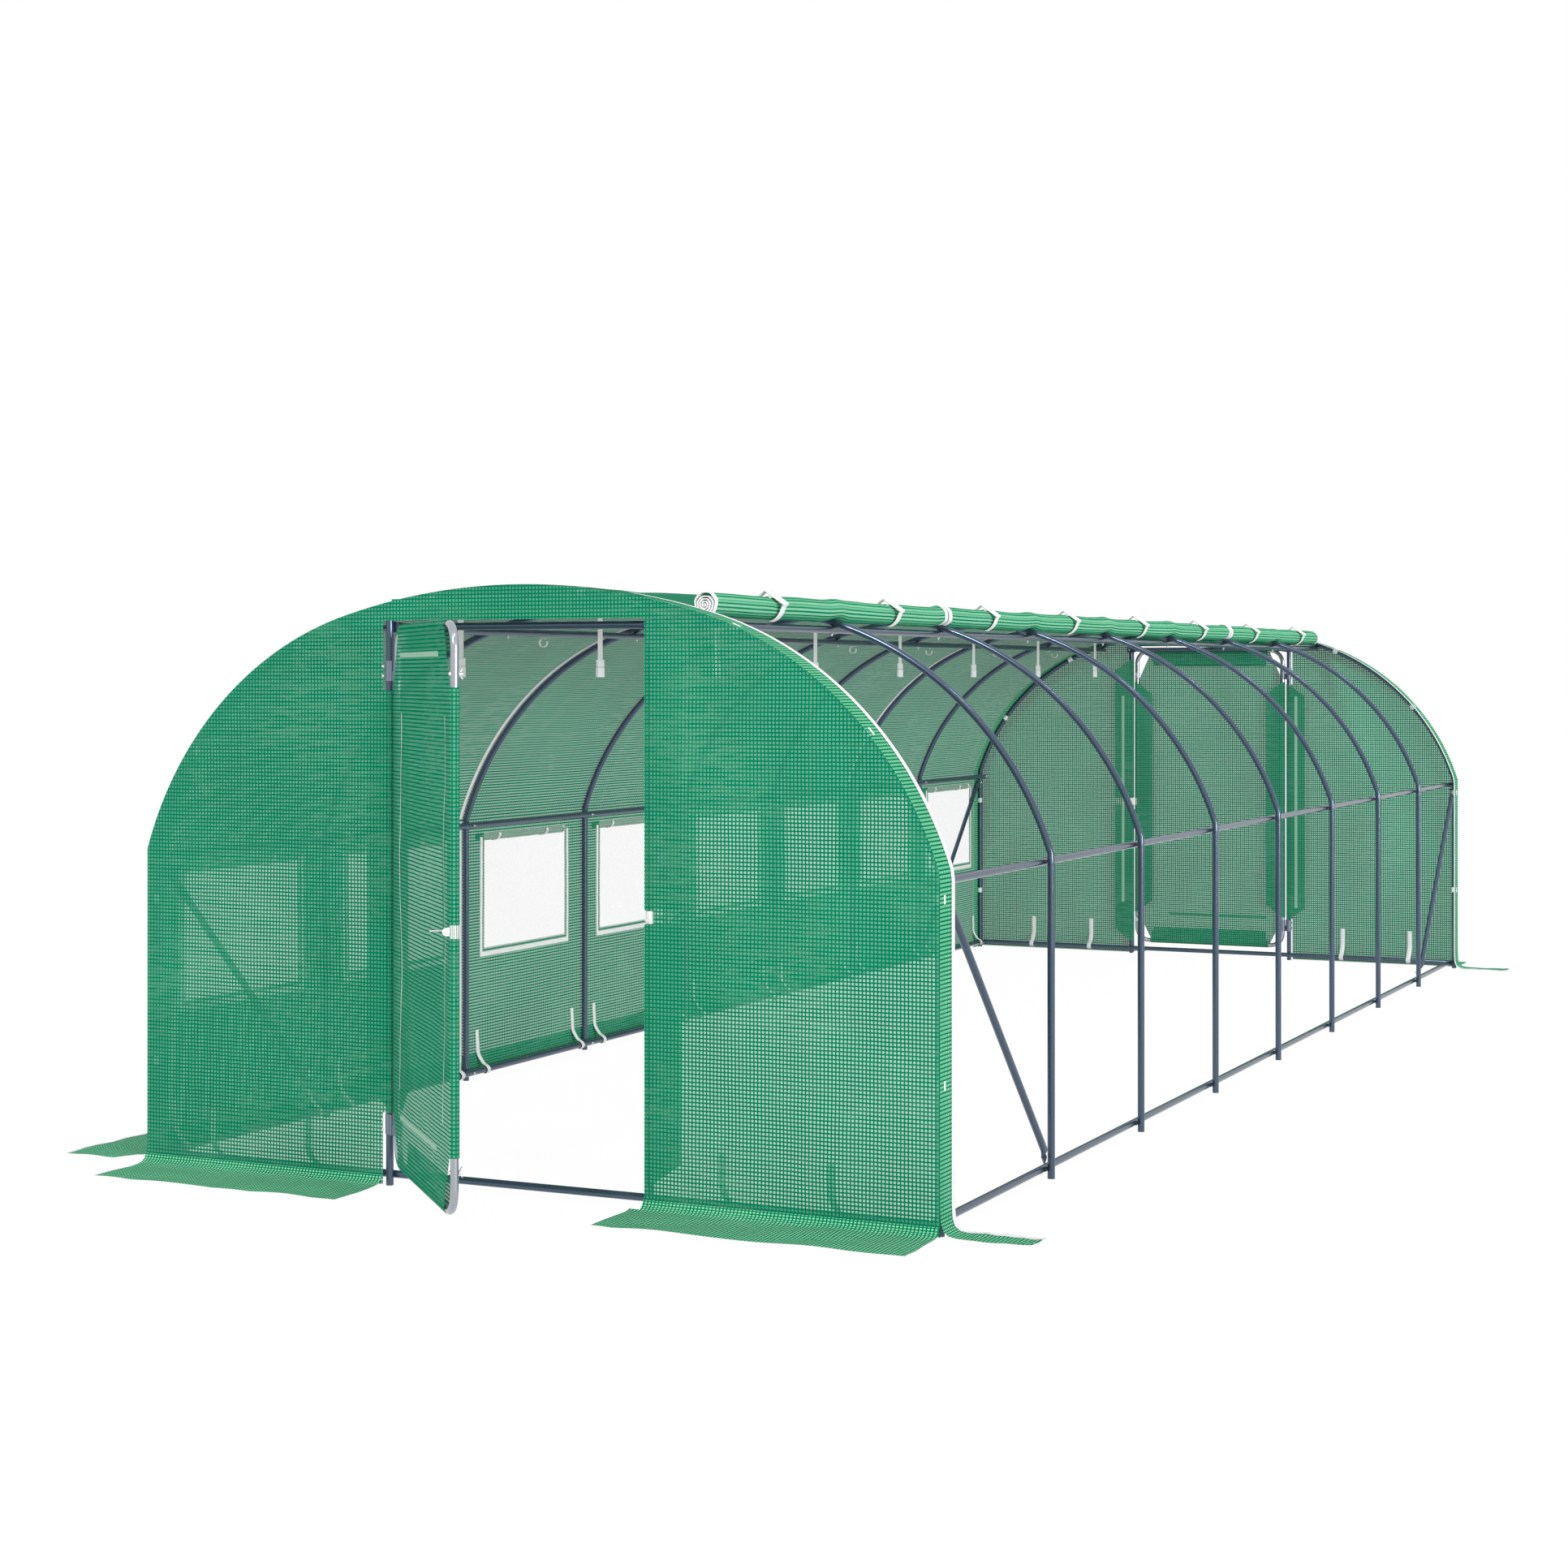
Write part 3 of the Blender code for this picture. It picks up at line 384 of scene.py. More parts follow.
def start_material(name, roughness, metallic=0.0):
    """A new material with its Principled shader."""
    made = bpy.data.materials.new(name)
    made.use_nodes = True
    shader = made.node_tree.nodes["Principled BSDF"]
    shader.inputs["Roughness"].default_value = roughness
    shader.inputs["Metallic"].default_value = metallic
    return made, made.node_tree, shader


def bump(tree, shader, height, strength, distance):
    """Feed a height into the shader's normal."""
    made = put(tree, "ShaderNodeBump", {"Height": height, "Strength": strength, "Distance": distance})
    tree.links.new(made.outputs[0], shader.inputs["Normal"])


print("materials so far:", len(bpy.data.materials))

# %% [markdown]
# One recipe serves every film: the grid decides between opaque woven tape and clear film, the folds draw
# pale lines, the crinkles carry a painted highlight, and the alpha of the film lets the frame behind show
# through. Real film also scatters light through itself. A cut-out can't do that, so rays that only carry
# light find the film almost a third clearer than the eye does, which a Light Path node tells. Where the sheet
# is wound up, a value painted on its points makes the squares nearly opaque and paints them lighter, as
# painted light; the skirts, which lie on white ground, the rims and the window flaps get the same painted
# light. A second value paints a highlight along the roll's long creases. The film has no mirror gloss, so its
# highlights are painted.

# %% Film material
FILM_PITCH = 0.0125
LIGHT_THROUGH = 0.30
WOUND_AND_LIT_ALPHA = 0.92
FOLD_AND_HIGHLIGHT_PALE, CREST_HIGHLIGHT = 0.09, 0.75
FOLD_RELIEF, GRID_RELIEF = 2.5, 0.30


def film_material(name, thread, film, film_alpha, wound_and_lit_film):
    """Reinforced film with its grid on the sheet's own cut map."""
    made, tree, shader = start_material(name, 0.45)
    shader.inputs["Specular IOR Level"].default_value = 0.0
    cut = cut_map(tree)
    grid = use_group(tree, "reinforcing_grid", {"Cut": cut, "Pitch": FILM_PITCH})
    folds = use_group(tree, "folds_and_crinkles", {"Cut": cut})
    # This mark makes the squares nearly opaque where film is wound, and paints them lighter as painted light
    # on the roll, skirts, rims and window flaps.
    wound_and_lit = put(tree, "ShaderNodeAttribute", attribute_name="wound_and_lit").outputs["Fac"]
    film_colour = blend_colour(tree, wound_and_lit, film, wound_and_lit_film)
    colour = blend_colour(tree, grid["Threads"], film_colour, thread)
    uneven = use_group(tree, "uneven_colour", {"Colour": colour, "Place": object_place(tree),
                                               "Cloud scale": 2.5, "Grain scale": 260.0, "Strength": 0.09})
    # Painted highlight along the roll's long creases.
    crest_highlight = put(tree, "ShaderNodeAttribute", attribute_name="crest_highlight").outputs["Fac"]
    pale = calc(tree, "MULTIPLY_ADD", folds["Pale folds and highlights"], FOLD_AND_HIGHLIGHT_PALE, calc(tree, "MULTIPLY", crest_highlight, CREST_HIGHLIGHT))
    # Paler colour of the folds and of the painted highlights on crinkles and creases.
    with_lines = blend_colour(tree, pale, uneven["Colour"], srgb(160, 220, 188))
    tree.links.new(with_lines, shader.inputs["Base Color"])
    clear = calc(tree, "MULTIPLY_ADD", wound_and_lit, WOUND_AND_LIT_ALPHA - film_alpha, film_alpha)
    opaque = calc(tree, "MULTIPLY_ADD", calc(tree, "SUBTRACT", 1.0, clear), grid["Threads"], clear)
    rays = put(tree, "ShaderNodeLightPath").outputs
    lighting = calc(tree, "MAXIMUM", rays["Is Shadow Ray"], rays["Is Diffuse Ray"])
    for_rays = calc(tree, "MULTIPLY_ADD", lighting, -LIGHT_THROUGH, 1.0)
    tree.links.new(calc(tree, "MULTIPLY", opaque, for_rays), shader.inputs["Alpha"])
    grid_relief = calc(tree, "MULTIPLY", grid["Height"], GRID_RELIEF)
    relief = calc(tree, "MULTIPLY_ADD", folds["Height"], FOLD_RELIEF, grid_relief)
    bump(tree, shader, relief, 0.6, 0.002)
    return made


# The last colour is painted light: the lighter film of the roll, the skirts, the rims and the window flaps.
FILM = film_material("grid_film", srgb(0, 123, 86), srgb(98, 177, 148), 0.68, srgb(140, 224, 176))
print("film squares", FILM_PITCH * 1000, "mm apart")

# %% [markdown]
# ## Materials of tubes, webbing and small parts
#
# The tunnel's tubes have a blue-grey coat over steel that still looks metallic, the door bows are bare
# galvanised steel, and latches are painted white. What tells metal from paint is its gloss, so the gloss is
# uneven: fine streaks run along a drawn tube, and other metal has them in the object's own directions.

# %% Metal material
STREAK_LESS, STREAK_MORE = 0.04, 0.05


def metal_material(name, colour, roughness, metallic, strength, drawn=False):
    """Metal with soft streaks and grain in its gloss. On a drawn tube the streaks run along its own map."""
    made, tree, shader = start_material(name, roughness, metallic)
    place = object_place(tree)
    uneven = use_group(tree, "uneven_colour", {"Colour": colour, "Place": place, "Cloud scale": 9.0,
                                               "Grain scale": 500.0, "Strength": strength})
    tree.links.new(uneven["Colour"], shader.inputs["Base Color"])
    along = cut_map(tree) if drawn else place
    streak_scale = (5.0, 110.0, 1.0) if drawn else (180.0, 180.0, 12.0)
    turned = put(tree, "ShaderNodeMapping", {"Vector": along, "Scale": streak_scale})
    streaks = put(tree, "ShaderNodeTexNoise", {"Vector": turned.outputs[0], "Scale": 1.0, "Detail": 3.0})
    gloss = ramp(tree, streaks.outputs["Fac"], 0.0, 1.0, roughness - STREAK_LESS, roughness + STREAK_MORE,
                 smooth=False)
    tree.links.new(gloss, shader.inputs["Roughness"])
    bump(tree, shader, uneven["Grain"], 0.02, 0.0005)
    return made


print("streaks change the gloss by", STREAK_LESS + STREAK_MORE)

# %% [markdown]
# Webbing is a plain white weave. Modelled threads would need millions of faces, so two crossed waves on
# the strap's own map, each a little over a millimetre long, make the weave's colour and relief. The insect
# net is the same weave with a low alpha.

# %% Webbing material
WEAVE = 0.0013


def webbing_material(name, colour, alpha=1.0):
    """White woven webbing, with ribs across and along the strap."""
    made, tree, shader = start_material(name, 0.75)
    parts = put(tree, "ShaderNodeSeparateXYZ", {0: cut_map(tree)}).outputs
    waves = [calc(tree, "SINE", calc(tree, "MULTIPLY", parts[axis], 2 * math.pi / WEAVE)) for axis in "XY"]
    weave = calc(tree, "MULTIPLY_ADD", calc(tree, "MULTIPLY", *waves), 0.5, 0.5)
    shade = blend_colour(tree, calc(tree, "MULTIPLY", weave, 0.10), colour, srgb(176, 180, 180))
    uneven = use_group(tree, "uneven_colour", {"Colour": shade, "Place": object_place(tree),
                                               "Cloud scale": 20.0, "Grain scale": 900.0, "Strength": 0.05})
    tree.links.new(uneven["Colour"], shader.inputs["Base Color"])
    shader.inputs["Sheen Weight"].default_value = 0.15
    shader.inputs["Alpha"].default_value = alpha
    bump(tree, shader, weave, 0.35, 0.0004)
    return made


print("weave", WEAVE * 1000, "mm long")

# %% [markdown]
# Each finish is one call with its colour, roughness and metallic share. The colours are those of the real
# surfaces in plain light, and none is pure black or white.

# %% Finishes
COATED = metal_material("blue_grey_coat", srgb(72, 88, 106), 0.17, 0.52, 0.05, drawn=True)
HINGE_STEEL = metal_material("hinge_steel", srgb(120, 130, 146), 0.34, 0.55, 0.08)
GALVANISED = metal_material("galvanised_tube", srgb(168, 172, 180), 0.24, 0.9, 0.08, drawn=True)
ZINC = metal_material("zinc_plate", srgb(222, 223, 226), 0.30, 0.9, 0.10)
WHITE_PAINT = metal_material("white_paint", srgb(232, 232, 230), 0.38, 0.0, 0.04)
DARK_STEEL = metal_material("dark_bolt", srgb(52, 58, 66), 0.40, 0.8, 0.10)
WEBBING = webbing_material("white_webbing", srgb(247, 247, 247))
NET = webbing_material("insect_net", srgb(240, 240, 240), 0.28)
VELCRO = webbing_material("pale_velcro", srgb(150, 198, 170), 0.9)
BUCKLE = metal_material("white_plastic", srgb(246, 246, 248), 0.42, 0.0, 0.03)
print("materials:", len(bpy.data.materials))

# %% [markdown]
# ## Surfaces from arrays
#
# Each new piece is a surface worked out with numpy as a whole array: a function of two numbers on a grid.
# Adding faces one by one would be slow and hard to read. `patch` turns a grid of points into faces together
# with the flat map of the cut, and leaves out the faces of a hole.

# %% Patches
UP = np.array([0.0, 0.0, 1.0])
ALONG_Y = np.array([0.0, 1.0, 0.0])
ALONG_X = np.array([1.0, 0.0, 0.0])


def stack(*parts):
    """Join coordinate arrays of one shape, or that broadcast to one, as the last axis."""
    return np.stack(np.broadcast_arrays(*parts), axis=-1).astype(float)


def patch(points, cut, keep=None, caps=()):
    """Quads between neighbours of a grid of points.

    cut holds the flat map. It has one more row or column than points where the grid closes on itself.
    """
    rows = np.arange(cut.shape[0]) % points.shape[0]
    columns = np.arange(cut.shape[1]) % points.shape[1]
    index = rows[:, None] * points.shape[1] + columns[None, :]

    def corners(grid):
        return np.stack([grid[:-1, :-1], grid[1:, :-1], grid[1:, 1:], grid[:-1, 1:]], axis=2)

    quads, flat = corners(index), corners(cut)
    if keep is not None:
        quads, flat = quads[keep], flat[keep]
    return points.reshape(-1, 3), quads.reshape(-1, 4), flat.reshape(-1, 4, 2), [list(cap) for cap in caps]


print("a grid of 3 by 3 points gives", len(patch(np.zeros((3, 3, 3)), np.zeros((3, 3, 2)))[1]), "quads")

# %% [markdown]
# A tube, strap or bolt is a profile carried along a path, as Blender's own curve bevel does. `sweep` does
# it in numpy, because it can change the profile on the way and gives the flat map as well. A path may run
# either way, so `outward` measures the volume and turns the faces if they point in.

# %% Sweeps
def outward(shape):
    """Turn a closed patch so that its faces point out: its signed volume has to be positive."""
    points, quads, flat, caps = shape
    middle = points.mean(axis=0)
    corner = points[quads] - middle
    volume = np.einsum("ij,ij->", np.cross(corner[:, 0], corner[:, 1]), corner[:, 2])
    volume += np.einsum("ij,ij->", np.cross(corner[:, 0], corner[:, 2]), corner[:, 3])
    if volume > 0:
        return points, quads, flat, caps
    return points, quads[:, ::-1], flat[:, ::-1], [cap[::-1] for cap in caps]


def sweep(path, profile, side, closed=False):
    """Carry a closed profile along a flat path.

    side is the direction square to the path's plane. The profile's first number is measured away from the
    path in its plane, and the second along side. A profile may differ from point to point.
    """
    path = np.asarray(path, float)
    step = np.roll(path, -1, 0) - np.roll(path, 1, 0) if closed else np.gradient(path, axis=0)
    along = step / np.linalg.norm(step, axis=1, keepdims=True)
    out = np.cross(along, side)
    profile = np.asarray(profile, float)
    profile = profile[None] if profile.ndim == 2 else profile
    points = path[:, None] + profile[..., :1] * out[:, None] + profile[..., 1:] * side
    loop = np.concatenate([profile, profile[:, :1]], axis=1)
    around = np.linalg.norm(np.diff(loop, axis=1), axis=2).cumsum(axis=1)
    around = np.pad(around, ((0, 0), (1, 0)))
    line = np.vstack([path, path[:1]]) if closed else path
    run = np.pad(np.linalg.norm(np.diff(line, axis=0), axis=1).cumsum(), (1, 0))
    cut = stack(run[:, None], around if len(around) == len(run) else around[:1])
    count = points.shape[1]
    last = (len(path) - 1) * count
    caps = () if closed else (range(count - 1, -1, -1), range(last, last + count))
    shape = patch(points, cut, caps=caps)
    return outward(shape)


square_bar = sweep([(0, 0, 0), (0, 0, 1)], [(1, 1), (1, -1), (-1, -1), (-1, 1)], ALONG_Y)
print("a square bar has", len(square_bar[1]), "sides and", len(square_bar[3]), "end caps")

# %% [markdown]
# `make_piece` joins patches into one object. It drops points that no face uses, writes the flat map and
# the painted values, shades smoothly with sharp edges where faces meet steeply, hangs the piece on the body
# that it rides on and hides the nodes that it stands for.

# %% Pieces
SHARP_DEG = 38.0


def make_piece(name, shapes, material, body="tunnel", replaces=(), sharp_deg=SHARP_DEG,
               marks=None):
    """Join patches into one object that rides on a body, with its flat map and smooth shading.

    marks holds values painted on the points, by the name of their attribute.
    """
    counts = np.cumsum([0] + [len(shape[0]) for shape in shapes])
    points = np.concatenate([shape[0] for shape in shapes])
    quads = np.concatenate([shape[1] + start for shape, start in zip(shapes, counts)])
    flat = np.concatenate([shape[2] for shape in shapes]).reshape(-1, 2)
    caps = [[i + start for i in cap] for shape, start in zip(shapes, counts) for cap in shape[3]]
    used = np.zeros(len(points), bool)
    used[quads.reshape(-1)] = True
    new_index = np.cumsum(used) - 1
    faces = new_index[quads].tolist() + [[int(new_index[i]) for i in cap] for cap in caps]
    mesh = bpy.data.meshes.new(name)
    mesh.from_pydata(points[used].tolist(), [], faces)
    flat = np.vstack([flat, np.zeros((sum(len(cap) for cap in caps), 2))])
    mesh.uv_layers.new(name="cut").data.foreach_set("uv", flat.astype(np.float32).reshape(-1))
    for label, values in (marks or {}).items():
        layer = mesh.attributes.new(label, "FLOAT", "POINT")
        layer.data.foreach_set("value", np.asarray(values, np.float32).reshape(-1)[used])
    mesh.shade_smooth()
    if sharp_deg:
        mesh.set_sharp_from_angle(angle=math.radians(sharp_deg))
    mesh.materials.append(material)
    obj = bpy.data.objects.new(name, mesh)
    bpy.context.scene.collection.objects.link(obj)
    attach(obj, body)
    if replaces:
        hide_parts(*replaces)
    return obj


print("edges over", SHARP_DEG, "degrees stay sharp")

# %% [markdown]
# Two profiles serve most pieces: the circle of a tube and the thin rectangle of a strap. A strap's edges
# are rounded, since a sharp edge would look like cut card.

# %% Profiles
def round_profile(radius, sides=24):
    """A circle as a closed profile."""
    turn = np.linspace(0, 2 * math.pi, sides, endpoint=False)
    return radius * stack(np.cos(turn), np.sin(turn))


def strap_profile(thick, wide):
    """A flat strap's section: a rectangle with rounded edges."""
    half, edge = thick / 2, wide / 2
    side = np.array([[half, -edge + half], [half, edge - half], [0.5 * half, edge], [-0.5 * half, edge]])
    return np.vstack([side, -side])


print("tube profile:", len(round_profile(TUBE_R)), "sides")

# %% [markdown]
# A bent strap needs a smooth line through a few chosen points, and film needs unevenness that is the same
# in each run. The first is a spline that passes through its points, and the second is a sum of waves in
# seeded random directions.

# %% Lines and unevenness
def smooth_path(points, count):
    """A smooth curve through a few chosen points, where each stretch leans on its four neighbours."""
    points = np.asarray(points, float)
    ends = np.vstack([2 * points[0] - points[1], points, 2 * points[-1] - points[-2]])
    place = np.linspace(0, len(points) - 1, count)
    first = np.minimum(place.astype(int), len(points) - 2)
    t = (place - first)[:, None]
    a, b, c, d = (ends[first + k] for k in range(4))
    curve = 2 * b + (c - a) * t + (2 * a - 5 * b + 4 * c - d) * t ** 2 + (3 * b - a - 3 * c + d) * t ** 3
    return 0.5 * curve


def ripple(u, v, length, height, seed, waves=7):
    """Seeded unevenness: a sum of plane waves in random directions, of about one length."""
    draw = np.random.default_rng(seed)
    turn = draw.uniform(0, 2 * math.pi, waves)
    size = draw.uniform(0.6, 1.7, waves) * length
    start = draw.uniform(0, 2 * math.pi, waves)
    total = sum(np.sin(2 * math.pi * (u * math.cos(a) + v * math.sin(a)) / s + p)
                for a, s, p in zip(turn, size, start))
    return height * total / math.sqrt(waves)


print("ripple of 1 mm at the middle:", round(float(ripple(0.0, 0.0, 1.0, 1.0, 1)), 2), "mm")

# %% [markdown]
# ## The bow's line
#
# Each hoop is two straight legs and three arcs that share tangents. `bow` gives the point and the outward
# lean at any distance along that line, measured from the left foot, so tubes, sheets, hems and clips all
# follow one curve. The two radii follow from the width and the rise.

# %% Bow geometry
width_sum = (math.sin(JOIN), math.cos(LEAN) - math.sin(JOIN))
rise_sum = (1 - math.cos(JOIN), math.cos(JOIN) - math.sin(LEAN))
TOP_RADIUS, SIDE_RADIUS = np.linalg.solve((width_sum, rise_sum), (HALF_WIDTH, APEX_Z - EAVES_Z))
SIDE_CX = HALF_WIDTH - SIDE_RADIUS * math.cos(LEAN)
SIDE_CZ = EAVES_Z - SIDE_RADIUS * math.sin(LEAN)
EAVES_ANGLE = math.pi / 2 - LEAN
side_arc = SIDE_RADIUS * (EAVES_ANGLE - JOIN)
KNOTS = np.cumsum([EAVES_Z, side_arc, 2 * TOP_RADIUS * JOIN, side_arc])
KNOT_ANGLES = np.array([-EAVES_ANGLE, -JOIN, JOIN, EAVES_ANGLE])
BOW_LENGTH = KNOTS[-1] + EAVES_Z
BEND = 0.03
bend_angle = BEND / SIDE_RADIUS
LEAN_AT = [KNOTS[0] - BEND, KNOTS[0] + BEND, KNOTS[1], KNOTS[2], KNOTS[3] - BEND, KNOTS[3] + BEND]
LEAN_ANGLES = [-math.pi / 2, -EAVES_ANGLE + bend_angle, -JOIN, JOIN, EAVES_ANGLE - bend_angle, math.pi / 2]


def bow(distance, out=0.0):
    """Point (x, z) and outward lean of the bow's line at a distance along it, moved outwards by out."""
    distance = np.asarray(distance, float)
    angle = np.interp(distance, KNOTS, KNOT_ANGLES)
    on_top = np.abs(angle) <= JOIN
    x = np.where(on_top, TOP_RADIUS * np.sin(angle), np.sign(angle) * SIDE_CX + SIDE_RADIUS * np.sin(angle))
    z = np.where(on_top, APEX_Z - TOP_RADIUS + TOP_RADIUS * np.cos(angle),
                 SIDE_CZ + SIDE_RADIUS * np.cos(angle))
    z = z - np.clip(KNOTS[0] - distance, 0, None) - np.clip(distance - KNOTS[3], 0, None)
    lean = np.interp(distance, LEAN_AT, LEAN_ANGLES)
    return x + out * np.sin(lean), z + out * np.cos(lean), lean


print("bow", round(float(BOW_LENGTH), 3), "m long, radii", round(float(TOP_RADIUS), 3),
      round(float(SIDE_RADIUS), 3))

# %% [markdown]
# The end panels are flat, so they ask the other way round: how high is the sheet at a given x? The bow's
# formula can't be turned round in one line, so it is sampled finely and looked up.

# %% Heights of the arch
arch_run = np.linspace(KNOTS[0], KNOTS[3], 1201)
ARCH_X, ARCH_Z = bow(arch_run, SHEET_OUT)[:2]


def roof_height(x):
    """Height of the sheet over the bow at x."""
    return np.interp(x, ARCH_X, ARCH_Z)


def roof_distance(x):
    """Distance along the bow of the sheet's point at x."""
    return np.interp(x, ARCH_X, arch_run)


print("sheet's top at", round(float(roof_height(0.0)), 3), "m")

# %% [markdown]
# ## Hoops and rails
#
# A tube is a circle carried along its line. Round tubes with 24 sides replace the coarser tubes of the
# frame: the highlights of a tube show every facet. Rail ends are turned in a little, so that their edge
# catches the light as a cut tube's does.

# %% Hoops
def coat(node, shape):
    """A tube with the blue-grey coat that stands for a node of the frame."""
    make_piece(f"{node}_tube", [shape], COATED, replaces=[node])


hoop_run = np.concatenate([[0, 0.5 * EAVES_Z], np.linspace(KNOTS[0] - BEND, KNOTS[3] + BEND, 110),
                           [KNOTS[3] + 0.5 * EAVES_Z, BOW_LENGTH]])
hoop_x, hoop_z = bow(hoop_run)[:2]
for number, y in enumerate(HOOP_Y, start=1):
    coat(f"hoop_{number}", sweep(stack(hoop_x, y, hoop_z), round_profile(TUBE_R), ALONG_Y))
print("hoops:", len(HOOP_Y))

# %% [markdown]
# Rails and posts are straight, so their middle line comes from their box in the frame: both ends along one
# axis and the middle of the box across it.

# %% Rails and posts
EDGE_TURN = 0.0012


def node_line(name, axis):
    """Middle line of a straight node along one axis, from its box."""
    low, high = (np.array(corner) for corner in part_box(name))
    start, end = (low + high) / 2, (low + high) / 2
    start[axis], end[axis] = low[axis], high[axis]
    return start, end


def straight_tube(start, end, radius=TUBE_R):
    """A round tube between two points, with its edges turned in a little at both ends."""
    start, end = np.asarray(start, float), np.asarray(end, float)
    length = np.linalg.norm(end - start)
    turn_in = EDGE_TURN / length
    share = np.array([0, turn_in, *np.linspace(0.05, 0.95, 9), 1 - turn_in, 1])
    along = (end - start) / length
    side = np.cross(along, UP if abs(along[2]) < 0.9 else ALONG_X)
    size = np.where((share == 0) | (share == 1), radius - EDGE_TURN, radius)
    path = start + share[:, None] * (end - start)
    return sweep(path, round_profile(1.0)[None] * size[:, None, None], side / np.linalg.norm(side))


RAILS = [f"{kind}_{hand}" for kind in ("base_rail", "waist_rail", "shoulder_purlin") for _, hand in SIDES]
for name in RAILS + ["ridge_purlin"]:
    coat(name, straight_tube(*node_line(name, 1)))
for _, word in ENDS:
    coat(f"{word}_base_rail", straight_tube(*node_line(f"{word}_base_rail", 0)))
    for _, hand in SIDES:
        name = f"{word}_door_post_{hand}"
        coat(name, straight_tube(*node_line(name, 2)))
print("rails:", len(RAILS) + 1, "along and", len(ENDS), "across")

# %% [markdown]
# ## Braces and lintels
#
# These tubes are pressed flat at both ends and bolted. A pressed end keeps the tube's girth: the circle
# turns into a wide thin oval, whose section is a power curve between the two. The flat also moves to the
# side on which it is bolted.

# %% Flat-ended tubes
FLAT_T = 0.004
FLAT_RUN = 0.035
FLAT_TAPER = 0.030
FLAT_SQUARE = 0.35


def flat_ended(start, end, seat):
    """A tube pressed flat at both ends, with the flats moved towards seat."""
    start, end, seat = (np.asarray(value, float) for value in (start, end, seat))
    length = np.linalg.norm(end - start)
    run = np.concatenate([np.linspace(0, FLAT_RUN, 3), np.linspace(FLAT_RUN, FLAT_RUN + FLAT_TAPER, 8)[1:],
                          np.linspace(0.12, length / 2, 4)])
    run = np.concatenate([run, (length - run[::-1])[1:]])
    from_end = np.minimum(run, length - run)
    flat = 1 - np.clip((from_end - FLAT_RUN) / FLAT_TAPER, 0, 1)
    flat = flat * flat * (3 - 2 * flat)
    thick = TUBE_R + flat * (FLAT_T / 2 - TUBE_R)
    wide = TUBE_R + flat * ((math.pi * TUBE_R - FLAT_T) / 2 - TUBE_R)
    ring = round_profile(1.0)
    squared = np.sign(ring[:, 0]) * np.abs(ring[:, 0]) ** (1 - FLAT_SQUARE * flat[:, None])
    profile = stack(thick[:, None] * squared, wide[:, None] * ring[:, 1])
    along = (end - start) / length
    side = np.cross(along, seat)
    side /= np.linalg.norm(side)
    path = start + run[:, None] * along + (flat * (TUBE_R - FLAT_T / 2))[:, None] * seat
    return sweep(path, profile, side)


BRACE_TOP_Z, BRACE_FOOT_Z, BRACE_INSET = 1.030, 0.063, 0.028
LINTEL_HALF = 0.506
for end, word in ENDS:
    for side, hand in SIDES:
        top = (side * HALF_WIDTH, MID_Y + end * (HALF_LENGTH - BRACE_INSET), BRACE_TOP_Z)
        foot = (side * HALF_WIDTH, MID_Y + end * (HALF_LENGTH - BAY + BRACE_INSET), BRACE_FOOT_Z)
        coat(f"{word}_brace_{hand}", flat_ended(top, foot, (-side, 0, 0)))
    y = MID_Y + end * HALF_LENGTH
    lintel_start, lintel_end = (-LINTEL_HALF, y, LINTEL_Z), (LINTEL_HALF, y, LINTEL_Z)
    coat(f"{word}_lintel", flat_ended(lintel_start, lintel_end, (0, end, 0)))
print("braces and lintels:", len(ENDS) * (len(SIDES) + 1))

# %% [markdown]
# ## The cover's surface
#
# The cover is one sheet from the loose skirt on the ground up the left wall, over the roof and into the roll
# on the right. Its point is a function of two distances on the flat sheet: y along the tunnel and s up from
# the wall's foot. The roll could be a stack of rings, but real film is wound, and its end shows that. The
# spiral's radius falls steadily, so its angle follows from the wound length by one square root.

# %% Sizes of the cover and its spiral
SKIRT = 0.36
COVER_END = 0.030
ROLL_AT = KNOTS[2] - 0.0156
ROLL_R = 0.041
ROLL_PITCH = 0.0082
ROLL_TURNS = 4.5
ROLL_LENGTH = 2 * math.pi * ROLL_TURNS * (ROLL_R - ROLL_PITCH * ROLL_TURNS / 2)
ROLL_SINK, ROLL_DENT, SINK_RUN = 0.0175, 0.014, 0.30
ROLL_PULL, PULL_RUN, PULL_START = 0.112, 0.60, 0.030
END_SLIDE, SLIDE_RUN, END_SINK = 0.045, 0.50, 0.008
CORNER = 0.022
GROUND_GAP = 0.0022
RIM_STEP = 0.0023
RIM_BACK, RIM_RUN = 0.0797, 0.15


def spiral_angle(wound, radius=ROLL_R, pitch=ROLL_PITCH):
    """Angle turned after a wound length on a spiral whose radius falls by the pitch in each turn."""
    inside = np.clip(radius ** 2 - pitch * wound / math.pi, 1e-8, None)
    return (radius - np.sqrt(inside)) * 2 * math.pi / pitch


print("roll holds", round(ROLL_LENGTH, 3), "m of film")

# %% [markdown]
# The roll is heavy. Between the hoops it draws the film down to the shoulder purlin, and where it crosses
# a hoop its lower half is dented. The straps pinch it. Its ends lie a hand's width behind the ends of the
# sheet, because it was wound a little on the skew. All of this depends on y alone, so each effect is a
# function of y that is 1 where it is strongest and fades to 0.

# %% Roll along the tunnel
def near_hoop(y, reach):
    """1 on a hoop, falling to 0 at the given distance from it."""
    off = np.abs((y - HOOP_Y[0] + BAY / 2) % BAY - BAY / 2)
    return np.clip(1 - off / reach, 0, 1) ** 2


def near_strap(y, reach):
    """1 at the middle of a bay, where the roll is strapped, falling to 0 at the given distance."""
    off = np.abs((y - HOOP_Y[0]) % BAY - BAY / 2)
    return np.exp(-(off / reach) ** 2)


